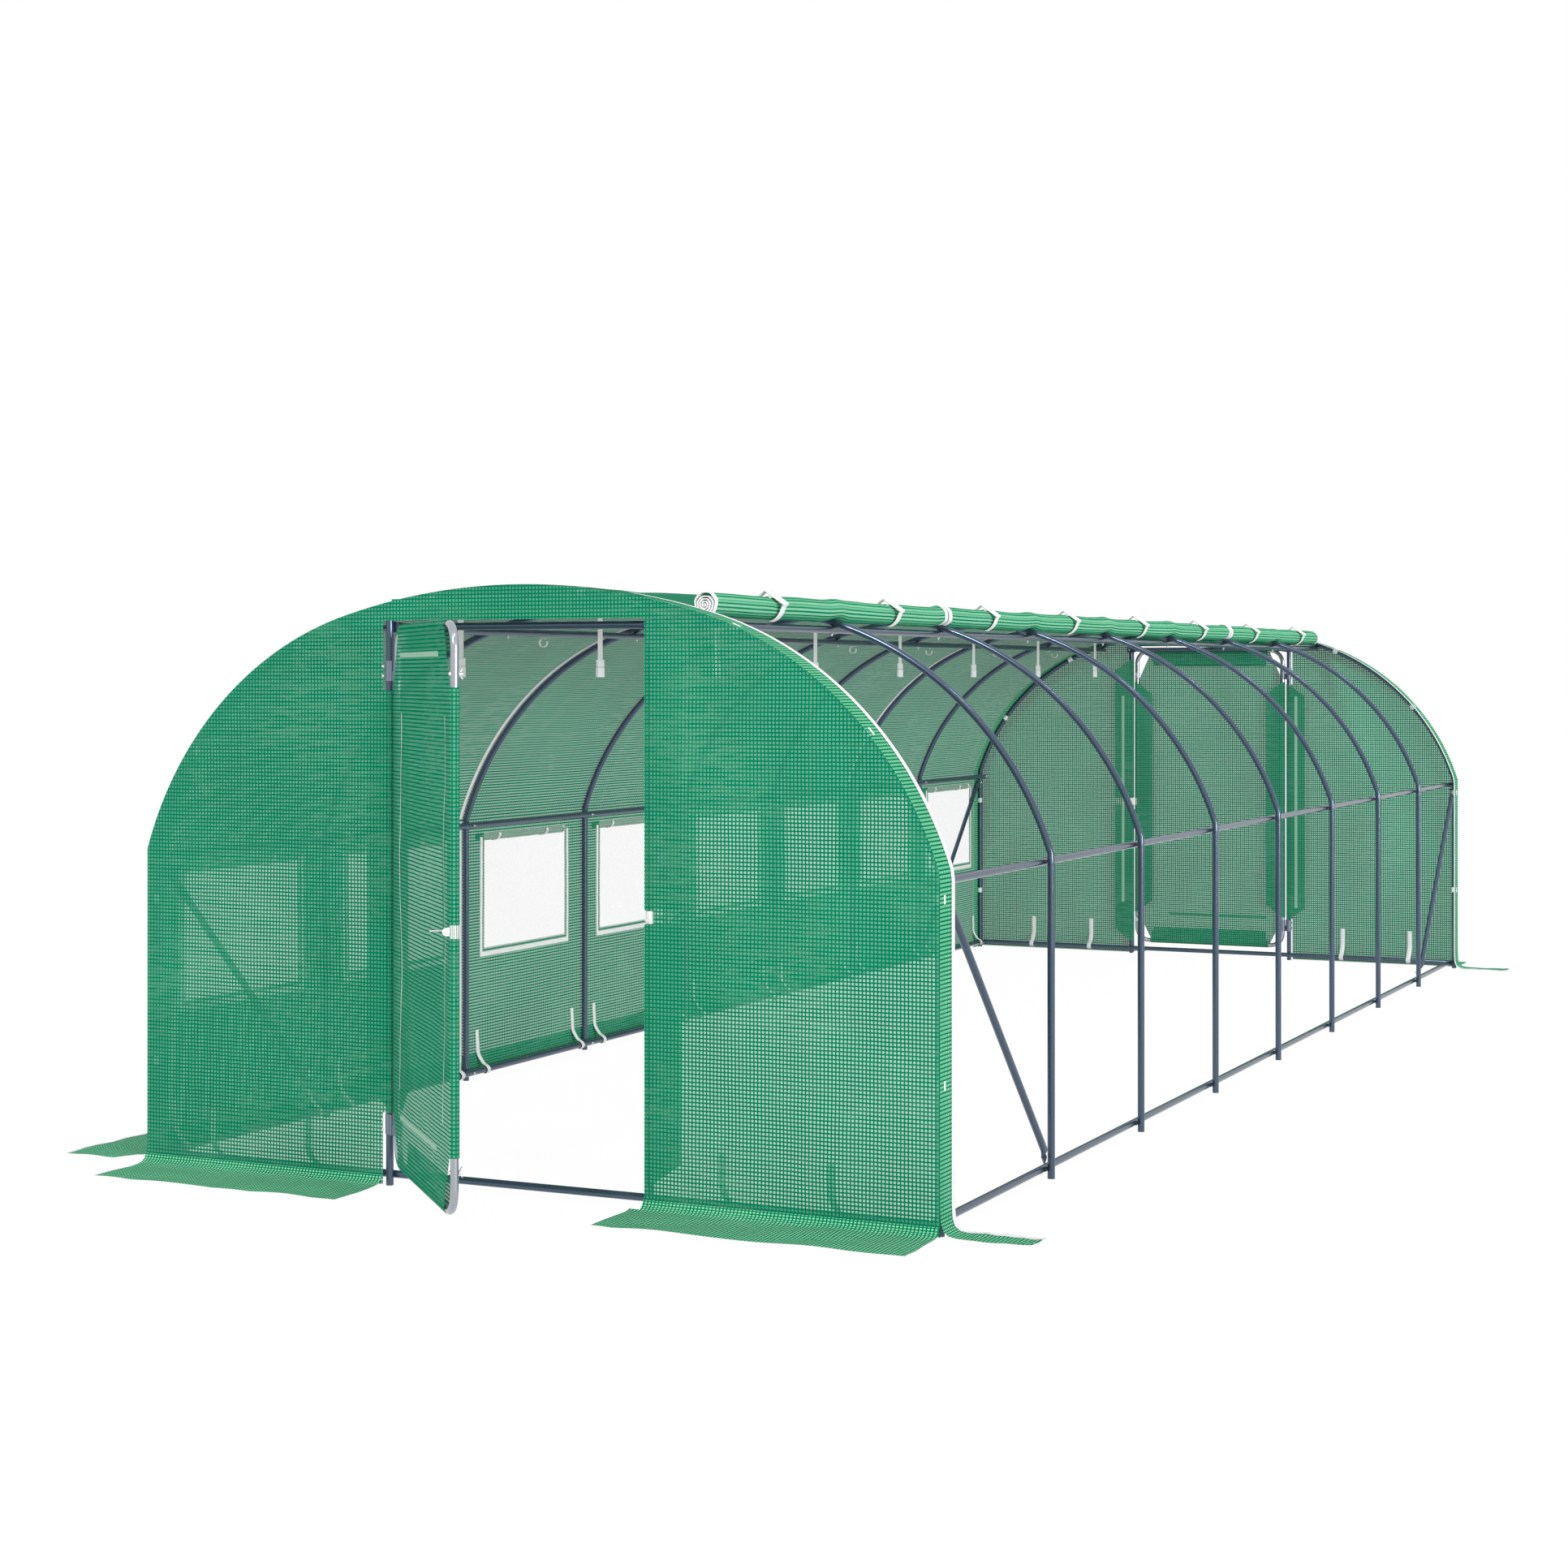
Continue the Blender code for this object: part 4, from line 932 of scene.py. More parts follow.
def roll_size(y):
    """How thick the roll is along the tunnel: pinched by the straps, swollen between them, uneven."""
    swell = 1.0 + 0.035 * np.sin(9.0 * y + 1.0) * np.sin(4.3 * y)
    return swell - 0.07 * near_strap(y, 0.035) + 0.03 * near_hoop(y, 0.10)


def near_front(y):
    """1 at the sheet's front end, falling to 0 along the tunnel."""
    return np.clip(1 - (y - HOOP_Y[0] + COVER_END) / PULL_RUN, 0, 1) ** 2


def roll_foot(y):
    """Distance along the bow at which the roll lies: at the front end it has crept towards the ridge."""
    return ROLL_AT - END_SLIDE * near_front(y)


def roll_drop(y):
    """How far the film sinks under the roll in a bay, and how far a hoop dents the roll from below."""
    on_hoop = near_hoop(y, 0.12)
    return (ROLL_SINK + END_SINK * near_front(y)) * (1 - on_hoop), ROLL_DENT * on_hoop


def end_pull(y):
    """How far the wound part lies inwards of the sheet's two ends: a square that fades along the tunnel."""
    from_rear = HOOP_Y[-1] + COVER_END - y
    return ROLL_PULL * (near_front(y) - np.clip(1 - from_rear / PULL_RUN, 0, 1) ** 2)


def roll_middle(y, less=0.0):
    """Middle of the roll: its radius above the film at the spiral's start, less the sinking and the dent."""
    foot_x, foot_z, foot_lean = bow(roll_foot(y), SHEET_OUT)
    away = ROLL_R * roll_size(y) - less - sum(roll_drop(y))
    return foot_x + away * np.sin(foot_lean), foot_z + away * np.cos(foot_lean)


print("roll sinks", round(float(roll_drop(BAY_Y[3])[0]) * 1000, 1), "mm in a bay")

# %% [markdown]
# Four things shape the sheet: a rounded corner at the ground, the bow, a slight sag between the hoops with
# unevenness, and the spiral. The corner is a soft switch: two curves that each fade out where the other
# takes over, so there is no kink. Beyond the roll's foot the point goes round the roll's middle by the
# spiral's angle.

# %% Cover surface
def cover_surface(y, s, lift=0.0):
    """Point of the cover at y along the tunnel and s up from the wall's foot."""
    y, s = np.broadcast_arrays(np.asarray(y, float), np.asarray(s, float))
    up = CORNER * np.logaddexp(0, s / CORNER)
    outwards = CORNER * np.logaddexp(0, -s / CORNER)
    wall = 1 / (1 + np.exp(-s / CORNER))
    end_gap = np.minimum(y - HOOP_Y[0], HOOP_Y[-1] - y)
    out = SHEET_OUT + RIM_STEP * np.clip((RIM_RUN - end_gap) / (RIM_RUN - RIM_BACK), 0, 1)
    free = 1 - near_hoop(y, 0.5) ** 0.5
    high = np.clip((s - 0.05) / 0.35, 0, 1) * np.clip((ROLL_AT - s) / 0.05, 0, 1)
    sag = free * high * (-0.006 + ripple(y, s, 0.55, 0.0028, 11) + ripple(y, s, 0.16, 0.0009, 12))
    near_roll = np.clip(1 - (ROLL_AT - s) / SINK_RUN, 0, 1) ** 2
    slide = (ROLL_AT - roll_foot(y)) * np.clip(1 - (ROLL_AT - s) / SLIDE_RUN, 0, 1)
    x, z = bow(np.minimum(up, ROLL_AT) - slide, out + sag + lift - roll_drop(y)[0] * near_roll)[:2]
    flap = 1 - wall
    wave = np.abs(ripple(y, s, 0.45, 0.005, 13)) + 0.3 * np.abs(ripple(y, s, 0.13, 0.004, 14))
    slope = 0.02 * np.exp(-((s + 0.02) / 0.08) ** 2) * flap
    x = x - outwards
    z = z + flap * (GROUND_GAP + lift + wave * np.clip(-s / 0.10, 0, 1)) + slope
    wound = np.clip(s - ROLL_AT, 0, None)
    angle = spiral_angle(wound)
    y = y + end_pull(y) * np.clip(wound / PULL_START, 0, 1)
    size = roll_size(y)
    tight = np.clip(angle / (2 * math.pi) - 1.15, 0, 0.35) / 0.35
    radius = (ROLL_R - ROLL_PITCH * angle / (2 * math.pi)) * size - 0.0022 * tight + lift
    mid_x, mid_z = roll_middle(y, 0.0035 * tight)
    roll_lean = bow(roll_foot(y))[2]
    crease = 0.0006 * np.sin(angle * 7 + ripple(y, 0 * y, 0.8, 1.5, 15)) * np.clip(wound / 0.05, 0, 1)
    up_roll, across_roll = -(radius + crease) * np.cos(angle), (radius + crease) * np.sin(angle)
    up_roll = up_roll * np.where(up_roll < 0, 1 - roll_drop(y)[1] / ROLL_R, 1.0)
    roll_x = mid_x + up_roll * np.sin(roll_lean) + across_roll * np.cos(roll_lean)
    roll_z = mid_z + up_roll * np.cos(roll_lean) - across_roll * np.sin(roll_lean)
    in_roll = s > ROLL_AT
    return stack(np.where(in_roll, roll_x, x), y, np.where(in_roll, roll_z, z))


print("wall's foot at x", round(float(cover_surface(0.0, 0.0)[0]), 3), "m")

# %% [markdown]
# ## Cover sections
#
# Two helpers come first. Windows are cut out of a grid, so grid lines have to lie exactly on their edges, and
# the area of a sheet's cut comes from its flat map.

# %% Grid lines and flat areas
def lines_between(low, high, step, fixed=()):
    """Grid lines from low to high about one step apart, with one on each fixed value."""
    marks = sorted({low, high, *[value for value in fixed if low < value < high]})
    runs = [np.linspace(a, b, max(2, int(round((b - a) / step)) + 1))[:-1] for a, b in zip(marks, marks[1:])]
    return np.concatenate([*runs, [high]])


def flat_area(obj):
    """Area of a piece's cut in square metres, from its flat map."""
    flat = np.zeros(len(obj.data.loops) * 2, np.float32)
    obj.data.uv_layers["cut"].data.foreach_get("uv", flat)
    corner = flat.reshape(-1, 4, 2).astype(float)
    first, second = corner[:, 2] - corner[:, 0], corner[:, 3] - corner[:, 1]
    return float(np.abs(first[:, 0] * second[:, 1] - first[:, 1] * second[:, 0]).sum() / 2)


print("grid lines from 0 to 1:", lines_between(0.0, 1.0, 0.3, [0.5]))

# %% [markdown]
# Three sheets meet at hoops 3 and 7. The faces inside the windows are left out. The sheets are single
# surfaces, as thin as the film really is. The roll's long creases lie at three angles round it, which are
# turned into distances on the sheet. One value painted on the points marks the wound part, and paints light
# on it and on the skirt that lies on the ground; another paints a highlight along each crease.

# %% Build the cover sections
WINDOW_LOW, WINDOW_HIGH = 0.5345, 1.012
WINDOW_HALF = 0.3375
ROLL_END = ROLL_AT + ROLL_LENGTH
# How much painted light the skirts and rims get: the lighter film colour of the wound roll.
EDGE_PAINTED_LIGHT = 1.0
CREST_DEG = np.array([-26.0, -5.0, 25.0])
CREST_HALF = 0.005
SEAM_HALF = 0.0003
SECTIONS = {"front": (0, 2), "middle": (2, 6), "rear": (6, 8)}
crest_angle = np.radians(CREST_DEG + 90) + bow(ROLL_AT)[2]
crests = ROLL_AT + ROLL_R * crest_angle - ROLL_PITCH * crest_angle ** 2 / (4 * math.pi)
crest_marks = [float(value) for value in (crests[:, None] + [-CREST_HALF, 0, CREST_HALF]).reshape(-1)]
cover_pieces, cover_cuts = {}, {}
for word, (first, last) in SECTIONS.items():
    y_low = HOOP_Y[first] - COVER_END if first == 0 else HOOP_Y[first] + SEAM_HALF
    y_high = HOOP_Y[last] + COVER_END if last == 8 else HOOP_Y[last] - SEAM_HALF
    window_edges = [y + side * WINDOW_HALF for y in BAY_Y[first:last] for side in (-1, 1)]
    rows = lines_between(y_low, y_high, 0.030, window_edges)
    flat_part = lines_between(-SKIRT, ROLL_AT, 0.026, [-0.02, 0.0, 0.02, WINDOW_LOW, WINDOW_HIGH])
    columns = np.concatenate([flat_part, lines_between(ROLL_AT, ROLL_END, 0.006, crest_marks)[1:]])
    points = cover_surface(rows[:, None], columns[None, :])
    row_mid, column_mid = (rows[:-1] + rows[1:]) / 2, (columns[:-1] + columns[1:]) / 2
    off_bay = np.abs((row_mid - HOOP_Y[0]) % BAY - BAY / 2)
    in_window = (off_bay[:, None] < WINDOW_HALF) & (column_mid > WINDOW_LOW) & (column_mid < WINDOW_HIGH)
    cut = stack(rows[:, None], columns[None, :])
    # Painted light: the wound roll and the skirt on the ground get the lighter film colour.
    wound_and_lit = np.clip((columns - ROLL_AT - 0.02) / 0.03, 0, 1) + EDGE_PAINTED_LIGHT * np.clip(-columns / 0.02, 0, 1)
    # Painted highlight: a pale line along each of the roll's three creases.
    crest_highlight = np.clip(1 - np.abs(columns - crests[:, None]) / CREST_HALF, 0, 1).max(axis=0)
    marks = {"wound_and_lit": np.broadcast_to(wound_and_lit, cut.shape[:2]),
             "crest_highlight": np.broadcast_to(crest_highlight, cut.shape[:2])}
    piece = make_piece(f"cover_{word}_film", [patch(points, cut, keep=~in_window)], FILM,
                       replaces=[f"cover_{word}"], sharp_deg=None, marks=marks)
    cover_pieces[word] = piece
    cover_cuts[word] = (y_high - y_low, SKIRT + ROLL_END)
    print(piece.name, "cut", np.round(cover_cuts[word], 2), "m")

# %% [markdown]
# ## End panels
#
# Each end is closed by a fitted sheet: an arched face with the doorway, a rim that turns back over the end
# hoop, skirts on the ground and a loose tail at the right corner. The face is a grid whose columns stand on
# the bow's own points. Its rows split at the doorway's top, so the doorway's edges are grid lines and its
# faces can be left out.

# %% End panel face
BARE_X = 0.5011
JAMB_X = 0.4695
DOORWAY_TOP = 1.856
HINGE_SLEEVE = (0.240, 1.626)
LATCH_SLEEVE = (0.078, 1.774)
SLEEVE_SLANT = 0.070
LATCH_Z = 0.918
NOTCH = 0.022
RIM_DEPTH = 0.119
FACE_FOOT = 0.004
FACE_GAP, SKIRT_GAP = 0.0004, 0.0022
arch_top = roof_height(BARE_X)
half_columns = np.concatenate([np.linspace(0, JAMB_X, 14), [BARE_X], lines_between(BARE_X, 1.20, 0.045)[1:],
                               bow(np.linspace(roof_distance(1.20), KNOTS[3] + BEND, 14), SHEET_OUT)[0][1:]])
FACE_X = np.concatenate([-half_columns[:0:-1], half_columns])
FACE_LINES = lines_between(FACE_FOOT, DOORWAY_TOP, 0.03, [*HINGE_SLEEVE, LATCH_Z - NOTCH, LATCH_Z + NOTCH])
print("face grid:", len(FACE_X), "columns and", len(FACE_LINES), "rows of lines")

# %% [markdown]
# The face hangs in soft upright folds that fade where it is held: at the posts, the rim and the ground.
# `end_point` is used by everything on an end, so that front and rear need one formula.

# %% Folds of the face
def smooth_step(value):
    """0 below 0, 1 above 1 and a smooth rise between."""
    value = np.clip(value, 0, 1)
    return value * value * (3 - 2 * value)


def face_bulge(x, z, seed):
    """How far the face stands out from its plane: soft upright folds that fade at posts, rim and ground."""
    edge = np.clip((roof_height(x) - z) / 0.18, 0, 1) * np.clip((HALF_WIDTH - np.abs(x)) / 0.12, 0, 1)
    free = smooth_step((np.abs(x) - BARE_X) / 0.20) * smooth_step(z / 0.20) * smooth_step(edge)
    folds = ripple(x * 1.6, z * 0.5, 0.5, 0.0045, seed) + ripple(x, z, 0.17, 0.0012, seed + 1)
    return free * folds


def end_point(end, x, out, z):
    """World point of an end's own coordinates, where out is the distance from the tunnel's middle."""
    return stack(x, MID_Y + end * out, z)


print("front face at y", round(float(end_point(-1, 0, FACE_OUT, 0)[1]), 3), "m")

# %% [markdown]
# The rows follow the arch above the doorway, so the grid is squeezed column by column: each column has the
# same number of rows, from the ground to its own height. The hinge post stays bare at both ends, and the
# latch post has a notch for the keeper, as on the real panel.

# %% Face with its openings
def face_patch(end, seed):
    """The arched face without the doorway, the hinge post's bare ends and the notch for the latch keeper."""
    x = FACE_X[None, :]
    top = roof_height(FACE_X)
    split = np.where(np.abs(FACE_X) <= BARE_X + 1e-6, DOORWAY_TOP, top * DOORWAY_TOP / arch_top)
    squeeze = (split - FACE_FOOT) / (DOORWAY_TOP - FACE_FOOT)
    low = FACE_FOOT + (FACE_LINES - FACE_FOOT)[:, None] * squeeze[None, :]
    high = split + np.linspace(0, 1, 4)[1:, None] * (top - split)
    z = np.vstack([low, high])
    grid_x = np.broadcast_to(x, z.shape)
    points = end_point(end, grid_x, FACE_OUT + FACE_GAP + face_bulge(grid_x, z, seed), z)
    lines = np.concatenate([FACE_LINES, [DOORWAY_TOP + 1, DOORWAY_TOP + 2, DOORWAY_TOP + 3]])
    line_mid = (lines[:-1] + lines[1:]) / 2
    x_mid = (FACE_X[:-1] + FACE_X[1:]) / 2
    below = line_mid[:, None] < DOORWAY_TOP
    past_sleeve = (line_mid < HINGE_SLEEVE[0]) | (line_mid > HINGE_SLEEVE[1])
    at_latch = np.abs(line_mid - LATCH_Z) < NOTCH
    bare = np.where((x_mid * end > 0)[None, :], past_sleeve[:, None], at_latch[:, None])
    open_doorway = below & (np.abs(x_mid) < JAMB_X)[None, :]
    open_post = below & bare & (np.abs(x_mid) < BARE_X)[None, :]
    return patch(points, stack(grid_x, z), keep=~(open_doorway | open_post))


print("front face:", len(face_patch(-1, 39)[1]), "quads")

# %% [markdown]
# A folded edge is the same everywhere on this object: a sheet comes to a tube from outside, goes round it
# and lies back as a second layer, whose corners are cut on a slant. `fold_round` works it out in three
# directions: a along the edge, b inwards from the tube and c through it from the outside to the inside.

# %% Folded edges
FOLD_R = 0.0149
FLAP_W = 0.100


def fold_round(a_low, a_high, flap, mitre, radius=FOLD_R, step=0.03):
    """Grids a, b, c and the distance round the fold, of a sheet that turns round a tube and lies back."""
    a_share = np.linspace(0, 1, max(8, int((a_high - a_low) / step)))[:, None]
    turn = np.linspace(0, math.pi, 13)
    b = np.concatenate([-radius * np.sin(turn), np.linspace(0, flap, 6)[1:]])[None, :]
    c = np.concatenate([-radius * np.cos(turn), np.full(5, radius)])[None, :]
    run = np.concatenate([radius * turn, math.pi * radius + np.linspace(0, flap, 6)[1:]])[None, :]
    slant = mitre * np.clip(b, 0, None) / flap
    a = (a_low + slant) + a_share * ((a_high - slant) - (a_low + slant))
    return (*np.broadcast_arrays(a, b, c), np.broadcast_to(run, a.shape))


def post_sleeve(end, side):
    """The panel's double layer round a door post. At the latch it leaves room for the keeper."""
    low, high = HINGE_SLEEVE if side == end else LATCH_SLEEVE
    spans = [(low, high)] if side == end else [(low, LATCH_Z - NOTCH), (LATCH_Z + NOTCH, high)]
    shapes = []
    for start, stop in spans:
        a, b, c, run = fold_round(start, stop, FLAP_W, 0.0)
        slant = SLEEVE_SLANT * np.clip(b, 0, None) / FLAP_W
        a = np.clip(a, low + slant, high - slant)
        points = end_point(end, side * (POST_X + b), POST_OUT - c, a)
        shapes.append(patch(points, stack(side * (0.5 - run), a)))
    return shapes


print("sleeves:", len(post_sleeve(-1, -1)), "patch at a hinge and", len(post_sleeve(-1, 1)), "at a latch")

# %% [markdown]
# The rim turns back over the end hoop and runs on over the ground as a loose tail, and the skirts lie out
# in front. Both meet the ground in the same soft corner as the cover.

# %% Rim and skirts
def rim_point(end, run, back, lift=0.0):
    """Point of the rim: run along the bow and on over the ground at the right, back from the face."""
    past = run - BOW_LENGTH
    down = CORNER * np.logaddexp(0, -past / CORNER)
    away = CORNER * np.logaddexp(0, past / CORNER)
    x, z = bow(BOW_LENGTH - down, SHEET_OUT + lift)[:2]
    wave = ripple(run, back, 0.12, 0.004, 31)
    flat = 1 / (1 + np.exp(-past / CORNER))
    height = z + flat * (0.003 + lift + np.abs(wave) * np.clip(past / 0.1, 0, 1))
    return end_point(end, x + away, FACE_OUT + FACE_GAP - back, height)


def skirt_point(end, x, s):
    """Point of a ground skirt: s up the face, or out over the ground where s is negative."""
    up = CORNER * np.logaddexp(0, s / CORNER)
    away = CORNER * np.logaddexp(0, -s / CORNER)
    flat = 1 / (1 + np.exp(s / CORNER))
    wave = np.abs(ripple(x, s, 0.40, 0.004, 33)) * np.clip(-s / 0.06, 0, 1)
    return end_point(end, x, FACE_OUT + SKIRT_GAP + away, up + flat * (SKIRT_GAP + wave))


print("rim", round(float(BOW_LENGTH), 2), "m long")

# %% [markdown]
# A panel is one sewn piece, so its patches become one object. Above the doorway the film is turned up on
# the inside in two layers, which shows as a darker band.

# %% Build the end panels
END_SKIRT = 0.275
TAIL = 0.29
SKIRT_START = {-1: BARE_X, 1: 0.432}
TURN_UP, TURN_UP_GAPS = 0.070, (0.0012, 0.0026)
panel_pieces = {}
for end, word in ENDS:
    run = lines_between(0.0, BOW_LENGTH + TAIL, 0.03)[:, None]
    back = np.linspace(0, RIM_DEPTH, 6)[None, :]
    shapes = [face_patch(end, 40 + end), patch(rim_point(end, run, back), stack(run, back))]
    # Painted light: the rim and the skirts get the lighter film colour; sleeves and turn-up keep the plain
    # film.
    bright = [0.0, EDGE_PAINTED_LIGHT]
    for side in (-1, 1):
        sleeve = post_sleeve(end, side)
        shapes += sleeve
        bright += [0.0] * len(sleeve) + [EDGE_PAINTED_LIGHT]
        start = SKIRT_START[-side * end]
        x = side * lines_between(start, HALF_WIDTH + SHEET_OUT, 0.03, [JAMB_X, BARE_X])
        s = lines_between(-END_SKIRT, 0.03, 0.02, [-0.02])
        door_side = BARE_X if side == end else JAMB_X
        in_doorway = (np.abs(x[:-1] + x[1:]) / 2 < door_side)[:, None] & (s[1:] > -0.019)[None, :]
        shapes.append(patch(skirt_point(end, x[:, None], s), stack(x[:, None], s), keep=~in_doorway))
    x = np.linspace(-JAMB_X, JAMB_X, 30)[:, None]
    for gap in TURN_UP_GAPS:
        z = DOORWAY_TOP + np.linspace(0, TURN_UP, 3)[None, :]
        shapes.append(patch(end_point(end, x, FACE_OUT - gap, z), stack(x, 2 * DOORWAY_TOP - z)))
        bright.append(0.0)
    wound_and_lit = np.concatenate([np.full(len(shape[0]), value) for shape, value in zip(shapes, bright)])
    piece = make_piece(f"{word}_panel_film", shapes, FILM, replaces=[f"{word}_panel"],
                       sharp_deg=None, marks={"wound_and_lit": wound_and_lit})
    panel_pieces[word] = piece
    print(piece.name, "cut area", round(flat_area(piece), 2), "m2")

# %% [markdown]
# ## Doors
#
# A door is a bent tube frame with its own sheet. Everything on it is worked out in the door's own
# coordinates: x from the hinge axis towards the latch, y inwards and z up. `door_point` turns them into the
# frame's coordinates, at the angle at which each door stands.

# %% Door coordinates
HINGE_AXIS = {"front": (-0.465, -3.848408, -46.0), "rear": (0.465, 4.244772, 180.0)}
NEAR_X, FAR_X = 0.019, 0.911
TUBE_Y = 0.0187
DOOR_LOW, DOOR_HIGH = 0.0825, 1.8275
DOOR_CORNER = 0.075
SHEET_CORNER = 0.085
DOOR_SLEEVE = (0.250, 1.640)
DOOR_FLAP = 0.085


def door_point(word, x, y, z):
    """World point of a door's own coordinates."""
    axis_x, axis_y, turn_deg = HINGE_AXIS[word]
    c, s = math.cos(math.radians(turn_deg)), math.sin(math.radians(turn_deg))
    return stack(axis_x + c * x - s * y, axis_y + s * x + c * y, z)


def rounded_loop(low, high, radius, steps=12):
    """Corner-rounded rectangle between two corners, anticlockwise."""
    right, top, left, foot = high[0] - radius, high[1] - radius, low[0] + radius, low[1] + radius
    runs = []
    for quarter, (x, z) in enumerate(((right, top), (left, top), (left, foot), (right, foot))):
        turn = np.linspace(0, math.pi / 2, steps) + quarter * math.pi / 2
        runs.append(stack(x + radius * np.cos(turn), z + radius * np.sin(turn)))
    return np.concatenate(runs)


print("door frame", round(FAR_X - NEAR_X, 3), "by", round(DOOR_HIGH - DOOR_LOW, 3), "m")

# %% [markdown]
# A door's sheet is cut off on a slant at each corner, where it would crumple in the bend of the tube. Its
# outer layer sinks in a little between the four edges, and each edge folds round the tube and lies back
# inside.

# %% Door sheet
def door_edges(x):
    """Lowest and highest point of a door's sheet at x: its corners are cut on a slant."""
    marks = [NEAR_X, NEAR_X + SHEET_CORNER, FAR_X - SHEET_CORNER, FAR_X]
    return (np.interp(x, marks, [DOOR_SLEEVE[0], DOOR_LOW, DOOR_LOW, DOOR_SLEEVE[0]]),
            np.interp(x, marks, [DOOR_SLEEVE[1], DOOR_HIGH, DOOR_HIGH, DOOR_SLEEVE[1]]))


def door_face(word, x, z, lift=0.0):
    """Point of the door's outer layer, which sinks in a little between its four edges."""
    low, high = door_edges(x)
    from_side = np.clip(np.minimum(x - NEAR_X, FAR_X - x) / 0.12, 0, 1)
    from_end = np.clip(np.minimum(z - low, high - z) / 0.12, 0, 1)
    slack = 0.006 + ripple(x, z * 0.6, 0.35, 0.0035, 51) + ripple(x, z, 0.13, 0.001, 52)
    return door_point(word, x, TUBE_Y - FOLD_R + smooth_step(from_side * from_end) * slack - lift, z)


def door_sheet_shapes(word):
    """The outer layer and the four folded edges of a door's sheet."""
    inner_near, inner_far = NEAR_X + SHEET_CORNER, FAR_X - SHEET_CORNER
    columns = lines_between(NEAR_X, FAR_X, 0.03, [inner_near, inner_far])
    low, high = door_edges(columns)
    z = low + np.linspace(0, 1, 56)[:, None] * (high - low)
    x = np.broadcast_to(columns[None, :], z.shape)
    shapes = [patch(door_face(word, x, z), stack(x, z))]
    for start, sign in ((NEAR_X, 1), (FAR_X, -1)):
        a, b, c, run = fold_round(*DOOR_SLEEVE, FLAP_W, 0.075)
        shapes.append(patch(door_point(word, start + sign * b, TUBE_Y + c, a), stack(sign * run, a)))
    for start, sign in ((DOOR_LOW, 1), (DOOR_HIGH, -1)):
        a, b, c, run = fold_round(inner_near, inner_far, DOOR_FLAP, 0.020, FOLD_R - 0.0008)
        shapes.append(patch(door_point(word, a, TUBE_Y + c, start + sign * b), stack(a, sign * run)))
    return shapes


print("door sheet:", len(door_sheet_shapes("front")), "patches")

# %% [markdown]
# The bow is a circle carried round a rectangle with round corners, closed on itself. It stays bare at the
# corners, where its bright metal shows in the photo.

# %% Build the doors
door_pieces = {}
for word in HINGE_AXIS:
    loop = rounded_loop((NEAR_X, DOOR_LOW), (FAR_X, DOOR_HIGH), DOOR_CORNER)
    path = door_point(word, loop[:, 0], TUBE_Y, loop[:, 1])
    across = door_point(word, 0, 1, 0) - door_point(word, 0, 0, 0)
    make_piece(f"{word}_door_bow", [sweep(path, round_profile(TUBE_R), across, closed=True)], GALVANISED,
               f"{word}_door", [f"{word}_door_frame"])
    piece = make_piece(f"{word}_door_film", door_sheet_shapes(word), FILM, f"{word}_door",
                       [f"{word}_door_sheet"], sharp_deg=None)
    door_pieces[word] = piece
print("doors:", ", ".join(door_pieces))

# %% [markdown]
# ## Hems and tapes
#
# The white tape that edges this cover is webbing folded over the film. A strip of the film's own surface,
# lifted by a millimetre, follows every bend of it. Stiff edges, such as the hem on the spiral end of the
# roll, are thick enough to show a side, so there a rectangle is carried along the spiral.

# %% Strips
HEM_LIFT = 0.0011
TAPE = 0.019
FRAME_HALF, FRAME_LOW, FRAME_HIGH = 0.3725, 0.499, 1.000


def make_trim(name, shapes, material=WEBBING, body="tunnel"):
    """Thin sewn trim as one piece, shaded smoothly all over."""
    return make_piece(name, shapes, material, body, sharp_deg=None)


def strip(surface, first, second):
    """Strip of a surface of two numbers, between the grid lines of both."""
    u, v = np.asarray(first)[:, None], np.asarray(second)[None, :]
    return patch(surface(u, v), stack(u, v))


def above_cover(y, s):
    """The cover's surface as a hem on its outside has it."""
    return cover_surface(y, s, HEM_LIFT)


def below_cover(y, s):
    """The cover's surface as a tape on its inside has it."""
    return cover_surface(y, s, -HEM_LIFT)


def frame_tapes(y):
    """Tape on three sides of the window at the middle of a bay."""
    inner = FRAME_HALF - TAPE
    across, up = np.linspace(-FRAME_HALF, FRAME_HALF, 20), np.linspace(FRAME_LOW + TAPE, FRAME_HIGH, 16)
    sides = [strip(below_cover, y + side * np.linspace(inner, FRAME_HALF, 3), up) for side in (-1, 1)]
    return [*sides, strip(below_cover, y + across, np.linspace(FRAME_LOW, FRAME_LOW + TAPE, 3))]


print("window frame", 2 * FRAME_HALF, "m wide")

# %% [markdown]
# A section carries a hem along its skirt, tapes round its windows, and where it meets the next one a seam
# tape under the roof and a stout band over the roll. The band is thick, so it is swept and not a strip.

